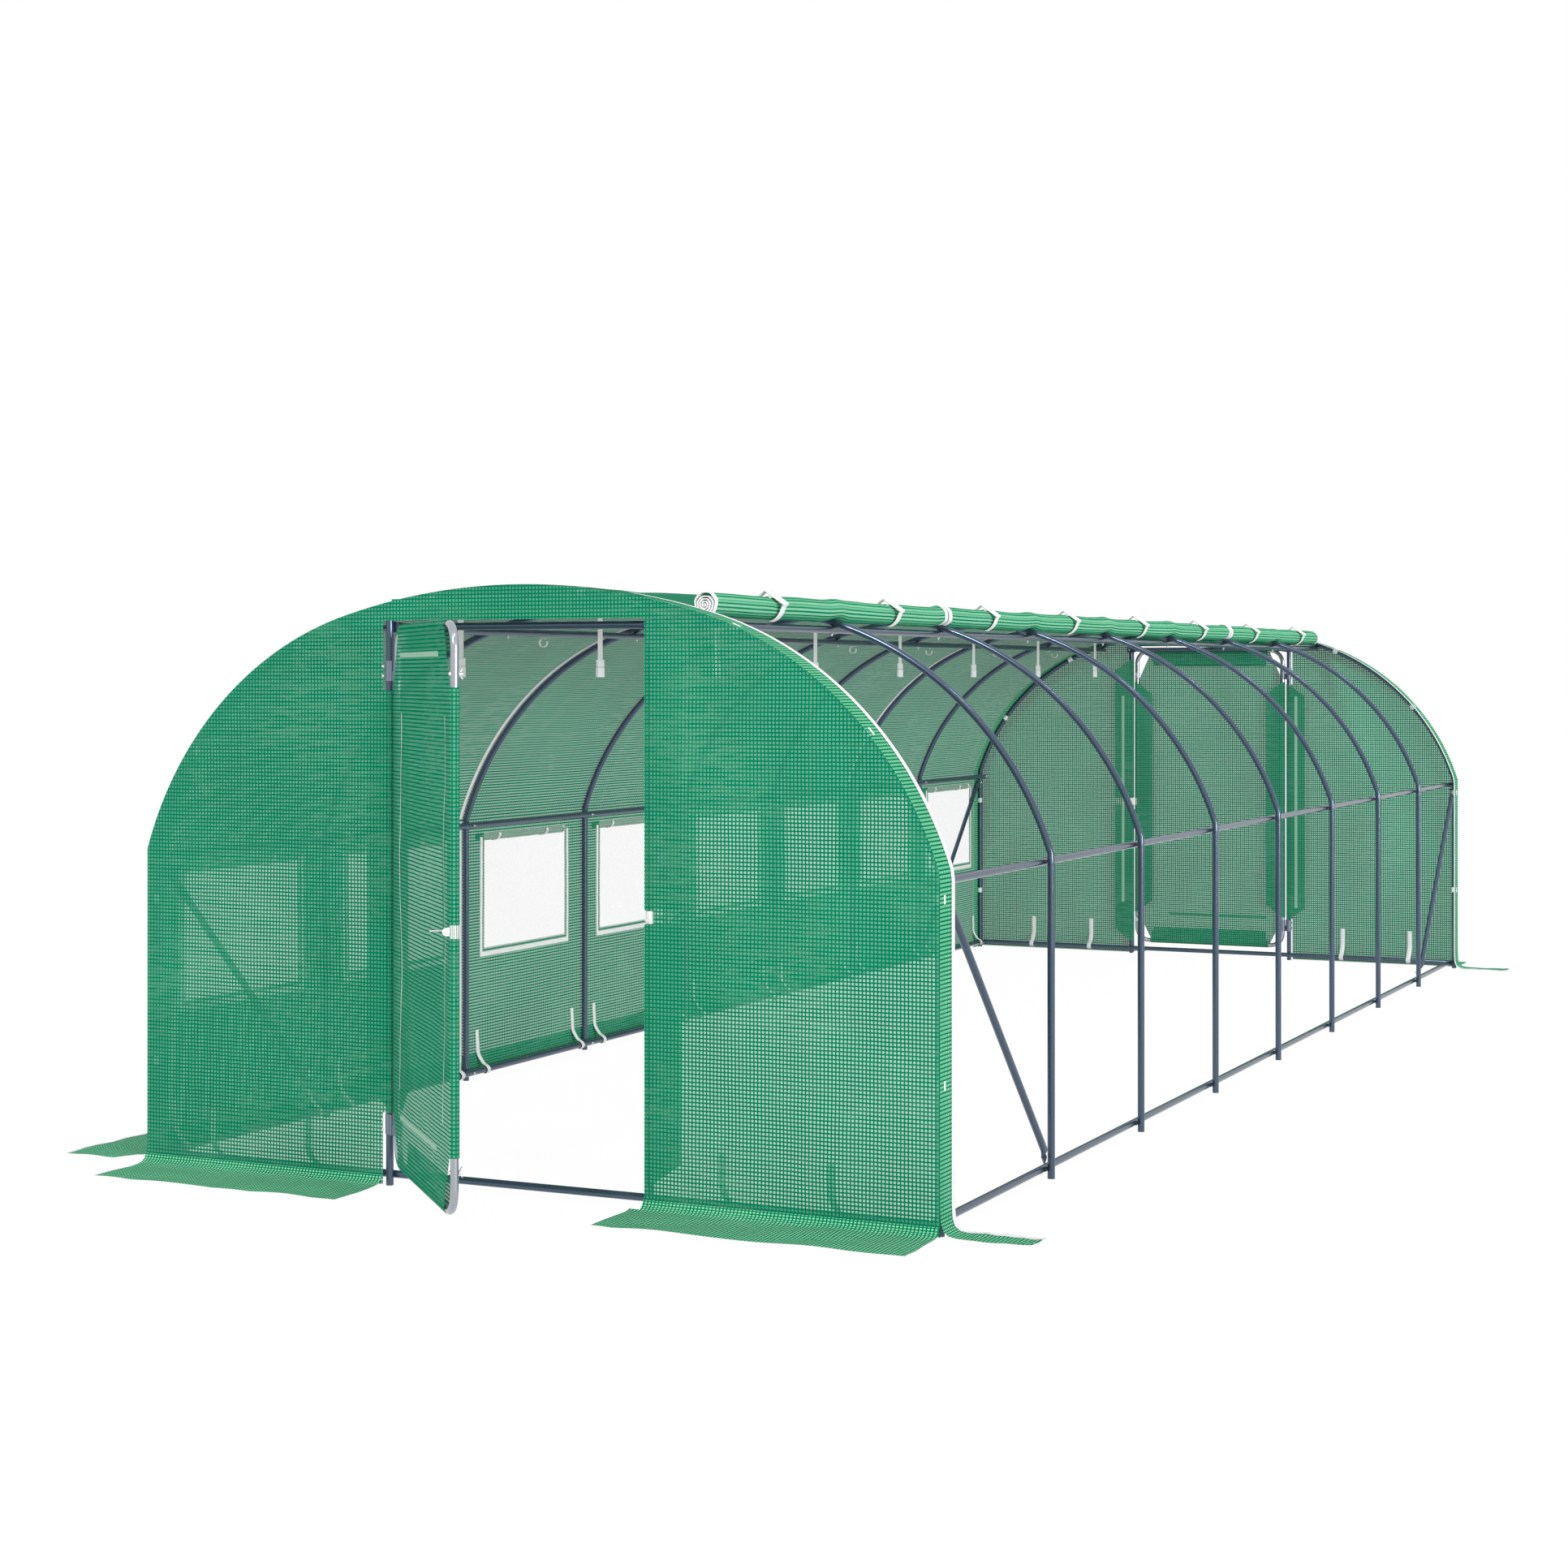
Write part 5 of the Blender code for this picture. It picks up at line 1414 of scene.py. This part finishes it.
# %% Tapes and bands
BAND_T, BAND_GAP = 0.0036, 0.002
BAND_RUN = ROLL_AT + np.linspace(-0.10, 0.235, 70)
SEAM_OFF, SEAM_GAP, HEM_WIDE = 0.010, 0.004, 0.012
for word, (first, last) in SECTIONS.items():
    low = HOOP_Y[first] + (SEAM_GAP if first else -COVER_END)
    high = HOOP_Y[last] - (SEAM_GAP if last < 8 else -COVER_END)
    shapes = [strip(above_cover, lines_between(low, high, 0.03), np.linspace(-SKIRT, HEM_WIDE - SKIRT, 3))]
    for edge, inwards, joined in ((low, 1, first > 0), (high, -1, last < 8)):
        if joined:
            wide = 0.012 if inwards > 0 else 0.024
            run = lines_between(0.0, ROLL_AT, 0.04)
            shapes.append(strip(below_cover, edge + inwards * np.linspace(SEAM_OFF, wide + SEAM_OFF, 3), run))
            band = 0.034 if inwards > 0 else 0.026
            path = cover_surface(edge + inwards * (BAND_GAP + band / 2), BAND_RUN, BAND_T / 2)
            shapes.append(sweep(path, strap_profile(BAND_T, band), ALONG_Y))
    for y in BAY_Y[first:last]:
        shapes += frame_tapes(y)
    make_trim(f"cover_{word}_tapes", shapes)

# %% [markdown]
# The end of the roll shows its white hem as a spiral of rings. A strip has no thickness to show there, so a
# flat rectangle is carried along the spiral's own line.

# %% Spiral hems
spiral_run = np.linspace(ROLL_AT + PULL_START, ROLL_END, 170)
HEM_THICK, HEM_DEEP = 0.0038, 0.025
for end, word in ENDS:
    path = cover_surface(MID_Y + end * (HALF_LENGTH + COVER_END), spiral_run)
    hem = sweep(path - [0, end * HEM_DEEP / 2, 0], strap_profile(HEM_THICK, HEM_DEEP), ALONG_Y)
    make_piece(f"roll_{word}_hem", [hem], WEBBING, sharp_deg=50)
print("spiral hems:", len(ENDS))

# %% [markdown]
# ## Windows
#
# A window is a hole with insect net sewn in. Its flap of film is rolled up on the outside and held by two
# short ties. The net is fine enough to look like a pale haze, so it is a plain sheet with a low alpha. The
# flap is really wound: eight turns of a spiral hold its whole length.

# %% Nets, rolled flaps and ties
FLAP_R, FLAP_PITCH, FLAP_TURNS = 0.0165, 0.0019, 8
FLAP_WIDE = 0.700
FLAP_LENGTH = 2 * math.pi * FLAP_TURNS * (FLAP_R - FLAP_PITCH * FLAP_TURNS / 2)
FLAP_X = -(HALF_WIDTH + SHEET_OUT + FLAP_R + 0.0035)
FLAP_Z = WINDOW_HIGH - FLAP_R + 0.002
NET_EDGE = 0.007
TIE_REACH = (0.0222, 0.0182)
FLAP_TIES = (-0.21, 0.19)
NET_SINK = 0.0004
# The wound window flap gets part of the lighter film colour as painted light.
FLAP_BRIGHT = 0.45


def flap_surface(y, wound):
    """The wound flap: a spiral about its own middle, with a slight uneven pinch along it."""
    angle = spiral_angle(wound, FLAP_R, FLAP_PITCH)
    radius = (FLAP_R - FLAP_PITCH * angle / (2 * math.pi)) * (1 + 0.04 * np.sin(31 * y) * np.sin(13 * y + 1))
    turn = 1.1 + angle
    return stack(FLAP_X + radius * np.cos(turn), y, FLAP_Z + radius * np.sin(turn))


def flap_tie(y):
    """A closed band round the wound flap that leans to one side."""
    turn = np.linspace(0, 2 * math.pi, 28, endpoint=False)
    path = stack(FLAP_X + TIE_REACH[0] * np.cos(turn), y, FLAP_Z + TIE_REACH[1] * np.sin(turn))
    points, *rest = sweep(path, strap_profile(0.0010, 0.018), ALONG_Y, closed=True)
    points[:, 1] += 0.7 * (points[:, 2] - FLAP_Z)
    return points, *rest


print("window flap", FLAP_WIDE, "by", round(FLAP_LENGTH, 3), "m, wound", FLAP_TURNS, "times")

# %% [markdown]
# Every bay has one window, so a loop over the bays makes the net, the flap and its two ties. All ties
# together are one piece.

# %% Build the windows
net_pieces, flap_pieces, tie_shapes = [], [], []
for number, y in enumerate(BAY_Y, start=1):
    across = y + np.linspace(-WINDOW_HALF - NET_EDGE, WINDOW_HALF + NET_EDGE, 22)
    up = np.linspace(WINDOW_LOW - NET_EDGE, WINDOW_HIGH + NET_EDGE, 18)
    net = strip(lambda u, v: cover_surface(u, v, -NET_SINK), across, up)
    net_pieces.append(make_trim(f"window_net_{number}", [net], NET))
    along = y + np.linspace(-FLAP_WIDE / 2, FLAP_WIDE / 2, 16)
    wound = np.linspace(0, FLAP_LENGTH, FLAP_TURNS * 15)
    flap = strip(flap_surface, along, wound)
    flap_pieces.append(make_piece(f"window_flap_{number}", [flap], FILM, sharp_deg=None,
                                  marks={"wound_and_lit": np.full(len(flap[0]), FLAP_BRIGHT)}))
    tie_shapes += [flap_tie(y + offset) for offset in FLAP_TIES]
make_piece("window_ties", tie_shapes, WEBBING)
print("windows:", len(net_pieces))

# %% [markdown]
# ## Hems, clips and ties of the end panels
#
# The rim of an end panel carries a white hem, and ten plastic clips press film and hem onto the end hoop.
# A clip is a tube with a gap: the section is an arc that goes out and comes back on a smaller radius.

# %% Clips and ties
CLIP_R, CLIP_WALL, CLIP_LONG = 0.0153, 0.0010, 0.028
CLIP_GAP_DEG = 70
TIE_WIDE = 0.025


def open_ring(radius, wall, gap_middle, gap_deg, steps=22):
    """Section of a clip: an arc out and the same arc back on a smaller radius."""
    turn = math.radians(gap_middle) + np.radians(np.linspace(gap_deg / 2, 360 - gap_deg / 2, steps))
    outer = radius * stack(np.cos(turn), np.sin(turn))
    return np.vstack([outer, outer[::-1] * (radius - wall) / radius])


def base_tie(foot, wall, inwards, along, lean):
    """Strap that comes down the wall and curls round a base rail.

    foot is the rail's middle, wall the distance out to the film, inwards the way from film to rail, and lean
    how far the rail end stands off to the side.
    """
    foot, inwards, along = (np.asarray(value, float) for value in (foot, inwards, along))
    chosen = [(-wall + 0.0055, 0.165), (-wall + 0.0050, 0.110), (-wall + 0.006, 0.065), (-0.012, 0.028),
              (0.006, 0.0155), (0.0155, 0.002), (0.009, -0.0135), (-0.006, -0.0155), (-0.016, -0.003)]
    line = smooth_path(chosen, 40)
    path = foot + line[:, :1] * inwards + line[:, 1:] * UP
    points, *rest = sweep(path, strap_profile(0.0014, TIE_WIDE), along)
    points += (lean * (1 - np.clip((points[:, 2] - foot[2]) / 0.15, 0, 1)))[:, None] * along
    return points, *rest


print("a clip's section has", len(open_ring(CLIP_R, CLIP_WALL, 180, CLIP_GAP_DEG)), "points")

# %% [markdown]
# The hem, the hook tape beside the doorway, the clips and the ties are placed with the same end coordinates
# as the panel. The rear end is the front one turned by half a turn, so its ties lie on the other hand.

# %% Panel trim
CLIPS, CLIP_START, CLIP_STOP = 10, 0.35, 0.45
PANEL_TIES = (-1.19, -0.80, 0.74, 1.11)
VELCRO_X, VELCRO_WIDE, VELCRO_INSET = 0.530, 0.016, 0.07
for end, word in ENDS:
    run = lines_between(0.0, BOW_LENGTH + TAIL, 0.03)
    back = RIM_DEPTH - np.linspace(0.0255, -0.0005, 4)
    shapes = [strip(lambda u, v: rim_point(end, u, v, HEM_LIFT), run, back)]
    velcro = []
    for side in (-1, 1):
        z = np.linspace(HINGE_SLEEVE[0] + VELCRO_INSET, HINGE_SLEEVE[1] - VELCRO_INSET, 30)
        x = side * (VELCRO_X + np.linspace(-0.5, 0.5, 3) * VELCRO_WIDE)
        velcro.append(strip(lambda u, v: end_point(end, u, POST_OUT - FOLD_R - HEM_LIFT, v), x, z))
    make_trim(f"{word}_panel_hem", shapes)
    make_trim(f"{word}_panel_velcro", velcro, VELCRO)
    hoop_y = MID_Y + end * HALF_LENGTH
    clips = []
    for middle in np.linspace(CLIP_START, BOW_LENGTH - CLIP_STOP, CLIPS):
        x, z = bow(middle + np.linspace(-0.5, 0.5, 5) * CLIP_LONG)[:2]
        clips.append(sweep(stack(x, hoop_y, z), open_ring(CLIP_R, CLIP_WALL, 180, CLIP_GAP_DEG), ALONG_Y))
    make_piece(f"{word}_rim_clips", clips, BUCKLE)
    low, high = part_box(f"{word}_base_rail")
    rail_y, rail_z = (low.y + high.y) / 2, (low.z + high.z) / 2
    wall = FACE_OUT - end * (rail_y - MID_Y)
    ties = [base_tie((-end * x, rail_y, rail_z), wall, (0, -end, 0), ALONG_X, 0.0) for x in PANEL_TIES]
    make_piece(f"{word}_panel_ties", ties, WEBBING)
print("clips:", CLIPS, "and ties:", len(PANEL_TIES), "at each end")

# %% [markdown]
# The left wall is tied to its base rail on both sides of every hoop. These ties slip along the rail, so they
# lean a little.

# %% Ties of the left wall
TIE_OFF, TIE_LEAN = 0.10, 0.018
low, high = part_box("base_rail_left")
left_rail_x, rail_z = (low.x + high.x) / 2, (low.z + high.z) / 2
wall = HALF_WIDTH + SHEET_OUT + left_rail_x
places = [y + side * TIE_OFF for y in HOOP_Y for side in (-1, 1)]
ties = [base_tie((left_rail_x, y, rail_z), wall, ALONG_X, ALONG_Y, TIE_LEAN)
        for y in places if HOOP_Y[0] < y < HOOP_Y[-1]]
make_piece("left_wall_ties", ties, WEBBING)
print("ties of the left wall:", len(ties))

# %% [markdown]
# ## Straps
#
# Eight straps hold the roll. Each hugs it from the roof right round, and its loose outer end makes a hook
# below, a stiff straight stretch in the buckle and a tail that stands off the roof. Both lines are given as
# points about the roll's middle. Eight more straps hang inside under the roof, each with a two-part buckle
# that waits for the side to come down.

# %% Strap lines and slabs
STRAP_WIDE = 0.036
BAR_START, BAR_END = np.array([-0.006, 0.0585]), np.array([0.0625, 0.0125])
TAIL_LINE = [(-0.040, 0.035), (-0.034, 0.041), (-0.020, 0.051), (-0.008, 0.058)]
HOOK_LINE = [(0.0620, 0.0125), (0.0535, 0.004), (0.0475, -0.010), (0.040, -0.022), (0.028, -0.034),
             (0.009, -0.0437)]


def flat_curve(chosen, count, middle, y):
    """Smooth line through points chosen about a middle, at one place along the tunnel."""
    line = smooth_path(chosen, count) + middle
    return stack(line[:, 0], y, line[:, 1])


def slab(middle, size, bevel=0.0015):
    """Box with chamfered edges: a rounded rectangle carried along z with its ends drawn in."""
    (cx, cy, cz), (wide, deep, high) = middle, size
    share = np.array([-0.5, -0.5 + bevel / high, 0.5 - bevel / high, 0.5])
    path = stack(cx, cy, cz + share * high)
    less = np.where(np.abs(share) == 0.5, bevel, 0.0)[:, None]
    loop = rounded_loop((-0.5, -0.5), (0.5, 0.5), 0.12, 4)[None]
    profile = stack(loop[..., 0] * (wide - 2 * less), loop[..., 1] * (deep - 2 * less))
    return sweep(path, profile, ALONG_Y)


print("strap", STRAP_WIDE * 1000, "mm wide")

# %% [markdown]
# A roll strap is three flat sweeps: the part that hugs the roll follows its own radius at that place, and
# the tail and the hook follow their chosen lines. The buckle is a bar that is drawn in at both ends.

# %% Roll straps
HUG_DEG, HUG_LIFT = (62, 196), 0.0016
HUG_THICK, TAIL_THICK = 0.0013, 0.0018
for number, y in enumerate(BAY_Y, start=1):
    middle = np.array(roll_middle(y))
    turn = np.radians(np.linspace(*HUG_DEG, 40))
    hug = ROLL_R * roll_size(y) + HUG_LIFT
    shapes = [sweep(stack(middle[0] + hug * np.cos(turn), y, middle[1] + hug * np.sin(turn)),
                    strap_profile(HUG_THICK, STRAP_WIDE), ALONG_Y)]
    for line in (TAIL_LINE, HOOK_LINE):
        shapes.append(sweep(flat_curve(line, 24, middle, y), strap_profile(TAIL_THICK, STRAP_WIDE), ALONG_Y))
    make_piece(f"roll_strap_{number}_web", shapes, WEBBING, replaces=[f"roll_strap_{number}"])
    bar = [BAR_START + share * (BAR_END - BAR_START) for share in (0, 0.03, 0.97, 1)]
    thin = strap_profile(0.0070, STRAP_WIDE - 0.003)
    full = strap_profile(0.0105, STRAP_WIDE + 0.005)
    path = stack(middle[0] + np.array(bar)[:, 0], y, middle[1] + np.array(bar)[:, 1])
    make_piece(f"roll_buckle_{number}", [sweep(path, np.stack([thin, full, full, thin]), ALONG_Y)], BUCKLE)
print("straps round the roll:", len(BAY_Y))

# %% [markdown]
# A hanging strap is a flat sweep straight down from the roof, and its buckle is two slabs with three thin
# prongs. A small ring of webbing is sewn to the roof beside it. All bays share one piece of each kind.

# %% Hanging straps and roof loops
HANG_X, HANG_DROP, HANG_WIDE = -0.540, 0.168, 0.037
HANG_GAP, HANG_THICK = 0.003, 0.0016
LOOP_X, LOOP_R, LOOP_WIDE, LOOP_DROP = -0.79, 0.017, 0.013, 0.022
hang_straps, hang_buckles, loops = [], [], []
top = roof_height(HANG_X) - HANG_GAP
foot = top - HANG_DROP
loop_z = roof_height(LOOP_X) - LOOP_DROP
loop_turn = np.radians(np.linspace(60, 380, 30))
for y in BAY_Y:
    path = stack(HANG_X, y, top - HANG_DROP * np.array([0, 0.5, 1]))
    hang_straps.append(sweep(path, strap_profile(HANG_THICK, HANG_WIDE), ALONG_Y))
    hang_buckles += [slab((HANG_X, y, foot - 0.010), (0.012, 0.047, 0.028)),
                     slab((HANG_X, y, foot - 0.044), (0.013, 0.049, 0.038)),
                     *[slab((HANG_X, y + offset, foot - 0.042), (0.0155, 0.007, 0.034))
                       for offset in (-0.014, 0.0, 0.014)]]
    path = stack(LOOP_X + LOOP_R * np.cos(loop_turn), y, loop_z + LOOP_R * np.sin(loop_turn))
    loops.append(sweep(path, strap_profile(HANG_THICK, LOOP_WIDE), ALONG_Y))
make_piece("hanging_straps", hang_straps, WEBBING)
make_piece("hanging_buckles", hang_buckles, BUCKLE)
make_piece("roof_loops", loops, WEBBING)
print("hanging straps:", len(hang_straps))

# %% [markdown]
# ## Bolts
#
# Every joint of the frame is a small machine bolt with a nut. A bolt is a hexagon carried along a short
# line, narrower at both ends, with a round tip. The same function serves all joints. The wing nuts of the
# doors get their two blades in a later cell.

# %% A bolt
def hexagon_bolt(place, direction, reach=0.0055, height=0.005, tip=0.003):
    """Hexagon head or nut that stands on a surface, with the round end of its thread."""
    place, direction = np.asarray(place, float), np.asarray(direction, float)
    direction = direction / np.linalg.norm(direction)
    side = np.cross(direction, UP if abs(direction[2]) < 0.9 else ALONG_X)
    side /= np.linalg.norm(side)
    share = np.array([0, 0.12, 0.85, 1.0]) * height
    sizes = np.array([0.93, 1.0, 1.0, 0.86]) * reach
    head = sweep(place + share[:, None] * direction, round_profile(1.0, 6)[None] * sizes[:, None, None], side)
    ends = np.array([0.9, 1.0, 1.4]) * height + np.array([0, 0, tip])
    thread = sweep(place + ends[:, None] * direction,
                   round_profile(1.0, 10)[None] * (np.array([0.5, 0.5, 0.38]) * reach)[:, None, None], side)
    return [head, thread]


print("a bolt is", len(hexagon_bolt((0, 0, 0), (0, 0, 1))), "sweeps")

# %% [markdown]
# Beside every hoop a side rail has a dark head and a bright nut outside, and one nut inside on the hoop. The
# purlins have a nut below each hoop, the flat ends of braces and lintels one each, and the hinge leaves two.
# The heads on the hinge leaves are flat and sit at the leaf's far edge, where the opened door leaves them
# room.

# %% Place the bolts
RAIL_BOLT_OFF, RAIL_BOLT_IN = 0.030, 0.01
BIG_HEAD, FLAT_HEAD = (0.0065, 0.006), (0.0045, 0.0010, 0.0002)
BRACE_BOLT_OFF, LINTEL_BOLT_X, LINTEL_BOLT_IN = 0.010, 0.486, 0.006
LEAF_BOLT_IN, LEAF_BOLTS = 0.0055, (0.26, 0.74)
dark_bolts, bright_bolts = [], []
for side, hand in SIDES:
    for kind in ("waist_rail", "base_rail"):
        low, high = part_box(f"{kind}_{hand}")
        rail_x, rail_z = (low.x + high.x) / 2, (low.z + high.z) / 2
        for y in HOOP_Y:
            near = np.clip(y + np.array([-1, 1]) * RAIL_BOLT_OFF, low.y + RAIL_BOLT_IN, high.y - RAIL_BOLT_IN)
            dark_bolts += hexagon_bolt((rail_x + side * TUBE_R, near[0], rail_z), (side, 0, 0), *BIG_HEAD)
            bright_bolts += hexagon_bolt((rail_x + side * TUBE_R, near[1], rail_z - 0.003), (side, 0, 0))
            bright_bolts += hexagon_bolt((rail_x - side * TUBE_R, y, rail_z), (-side, 0, 0))
for name in ("shoulder_purlin_left", "shoulder_purlin_right", "ridge_purlin"):
    low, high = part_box(name)
    for y in HOOP_Y:
        bright_bolts += hexagon_bolt(((low.x + high.x) / 2, y, low.z), (0, 0, -1))
for end in (-1, 1):
    hoop_y = MID_Y + end * HALF_LENGTH
    for side in (-1, 1):
        inner_x = side * (HALF_WIDTH - TUBE_R) - side * FLAT_T
        for y, z in ((hoop_y - end * BRACE_INSET, BRACE_TOP_Z - BRACE_BOLT_OFF),
                     (hoop_y - end * (BAY - BRACE_INSET), BRACE_FOOT_Z + BRACE_BOLT_OFF)):
            bright_bolts += hexagon_bolt((inner_x, y, z), (-side, 0, 0))
        place = (side * LINTEL_BOLT_X, hoop_y - end * LINTEL_BOLT_IN, LINTEL_Z)
        bright_bolts += hexagon_bolt(place, (0, -end, 0))
for name in frame["nodes"]:
    if name.endswith("hinge_post_leaf"):
        low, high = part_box(name)
        at_front = name.startswith("front")
        out_y, way = (low.y, -1) if at_front else (high.y, 1)
        far_x = low.x + LEAF_BOLT_IN if at_front else high.x - LEAF_BOLT_IN
        for share in LEAF_BOLTS:
            place = (far_x, out_y, low.z + share * (high.z - low.z))
            bright_bolts += hexagon_bolt(place, (0, way, 0), *FLAT_HEAD)
make_piece("frame_bolts", dark_bolts, DARK_STEEL, sharp_deg=25)
make_piece("frame_nuts", bright_bolts, ZINC, sharp_deg=25)
print("bolts:", len(dark_bolts) // 2, "dark and", len(bright_bolts) // 2, "bright")

# %% [markdown]
# ## Small parts of the doors
#
# The two halves of a door frame are joined by a bolt with a wing nut near each corner of the free side. The
# film carries a strip of hook tape near its top and bottom and a white seam along the folded edges. All of
# it is worked out in the door's own coordinates.

# %% Door bolts
FRAME_JOINTS = (0.207, 1.680)
NUT_REACH = 0.0062


def door_way(word, x, y, z):
    """Direction in the frame's coordinates of a direction in the door's own."""
    return (door_point(word, x, y, z) - door_point(word, 0, 0, 0)).reshape(3)


for word in HINGE_AXIS:
    fasteners = []
    for z in FRAME_JOINTS:
        for sign, height, tip in ((-1, 0.0040, 0.0005), (1, 0.0055, 0.004)):
            place = door_point(word, FAR_X, TUBE_Y + sign * TUBE_R, z).reshape(3)
            fasteners += hexagon_bolt(place, door_way(word, 0, sign, 0), NUT_REACH, height, tip)
        blade = door_point(word, FAR_X, TUBE_Y + TUBE_R + 0.0045, z).reshape(3)
        for sign in (-1, 1):
            wing = blade + sign * 0.0065 * UP
            fasteners.append(sweep([wing, wing + door_way(word, 0, 0.003, 0) + sign * 0.005 * UP,
                                    wing + door_way(word, 0, 0.007, 0) + sign * 0.009 * UP],
                                   strap_profile(0.0022, 0.009), door_way(word, 1, 0, 0)))
    make_piece(f"{word}_door_fasteners", fasteners, ZINC, f"{word}_door", sharp_deg=25)
print("bolts of a door frame:", len(FRAME_JOINTS))

# %% [markdown]
# The door's tape and seams are strips of its outer layer, so they bulge with it. `strip` asks for a surface
# of two numbers, so a short function hands it this door's face, lifted by the height of a hem.

# %% Door tapes and seams
HOOK_TAPES, HOOK_RUN = (0.246, 1.741), (0.12, 0.72)
SEAM_RUN, SEAM_EDGES = (0.335, 1.555), (0.005, 0.001)
for word in HINGE_AXIS:
    hooks = [strip(lambda u, v: door_face(word, u, v, HEM_LIFT), np.linspace(*HOOK_RUN, 12),
                   z + np.linspace(-0.5, 0.5, 3) * VELCRO_WIDE) for z in HOOK_TAPES]
    seams = [strip(lambda u, v: door_face(word, u, v, HEM_LIFT),
                   start + sign * (FLAP_W - np.linspace(*SEAM_EDGES, 3)), np.linspace(*SEAM_RUN, 30))
             for start, sign in ((NEAR_X, 1), (FAR_X, -1))]
    make_trim(f"{word}_door_hook_tape", hooks, VELCRO, f"{word}_door")
    make_trim(f"{word}_door_seams", seams, WEBBING, f"{word}_door")

# %% [markdown]
#
# Film that is stretched over the frame keeps the area to which it was cut. The cut area of each cover
# section, end panel and door is worked out from its flat map; for a cover section the smaller of that and
# its width times its length is taken. The end panels are cut from an outline with a doorway, so they give an
# area of their own.

# %% Flat sizes
for word, (first, last) in SECTIONS.items():
    piece, (width, length) = cover_pieces[word], cover_cuts[word]
    min(flat_area(piece), width * length)
for word, hoop in (("front", "hoop_1"), ("rear", "hoop_9")):
    flat_area(panel_pieces[word])
    flat_area(door_pieces[word])
sheets = [cover_pieces, panel_pieces, door_pieces, net_pieces, flap_pieces]
print("sheets declared:", sum(len(kind) for kind in sheets))

# %% [markdown]
# ## Finish the remaining nodes
#
# The last step gives the frame's nodes that still show their finishes: zinc, white paint or webbing by
# their slot, and hinge steel for the hinge parts.

# %% Finish
for name, node in frame["nodes"].items():
    if not node.hide_render and node.material_slots:
        slot_name = next(row["material_slot"] for row in frame["record"]["subparts"] if row["node"] == name)
        look = {"zinc_steel": ZINC, "latch_white": WHITE_PAINT, "webbing": WEBBING}.get(slot_name)
        look = HINGE_STEEL if "hinge" in name else look
        if look:
            node.material_slots[0].material = look
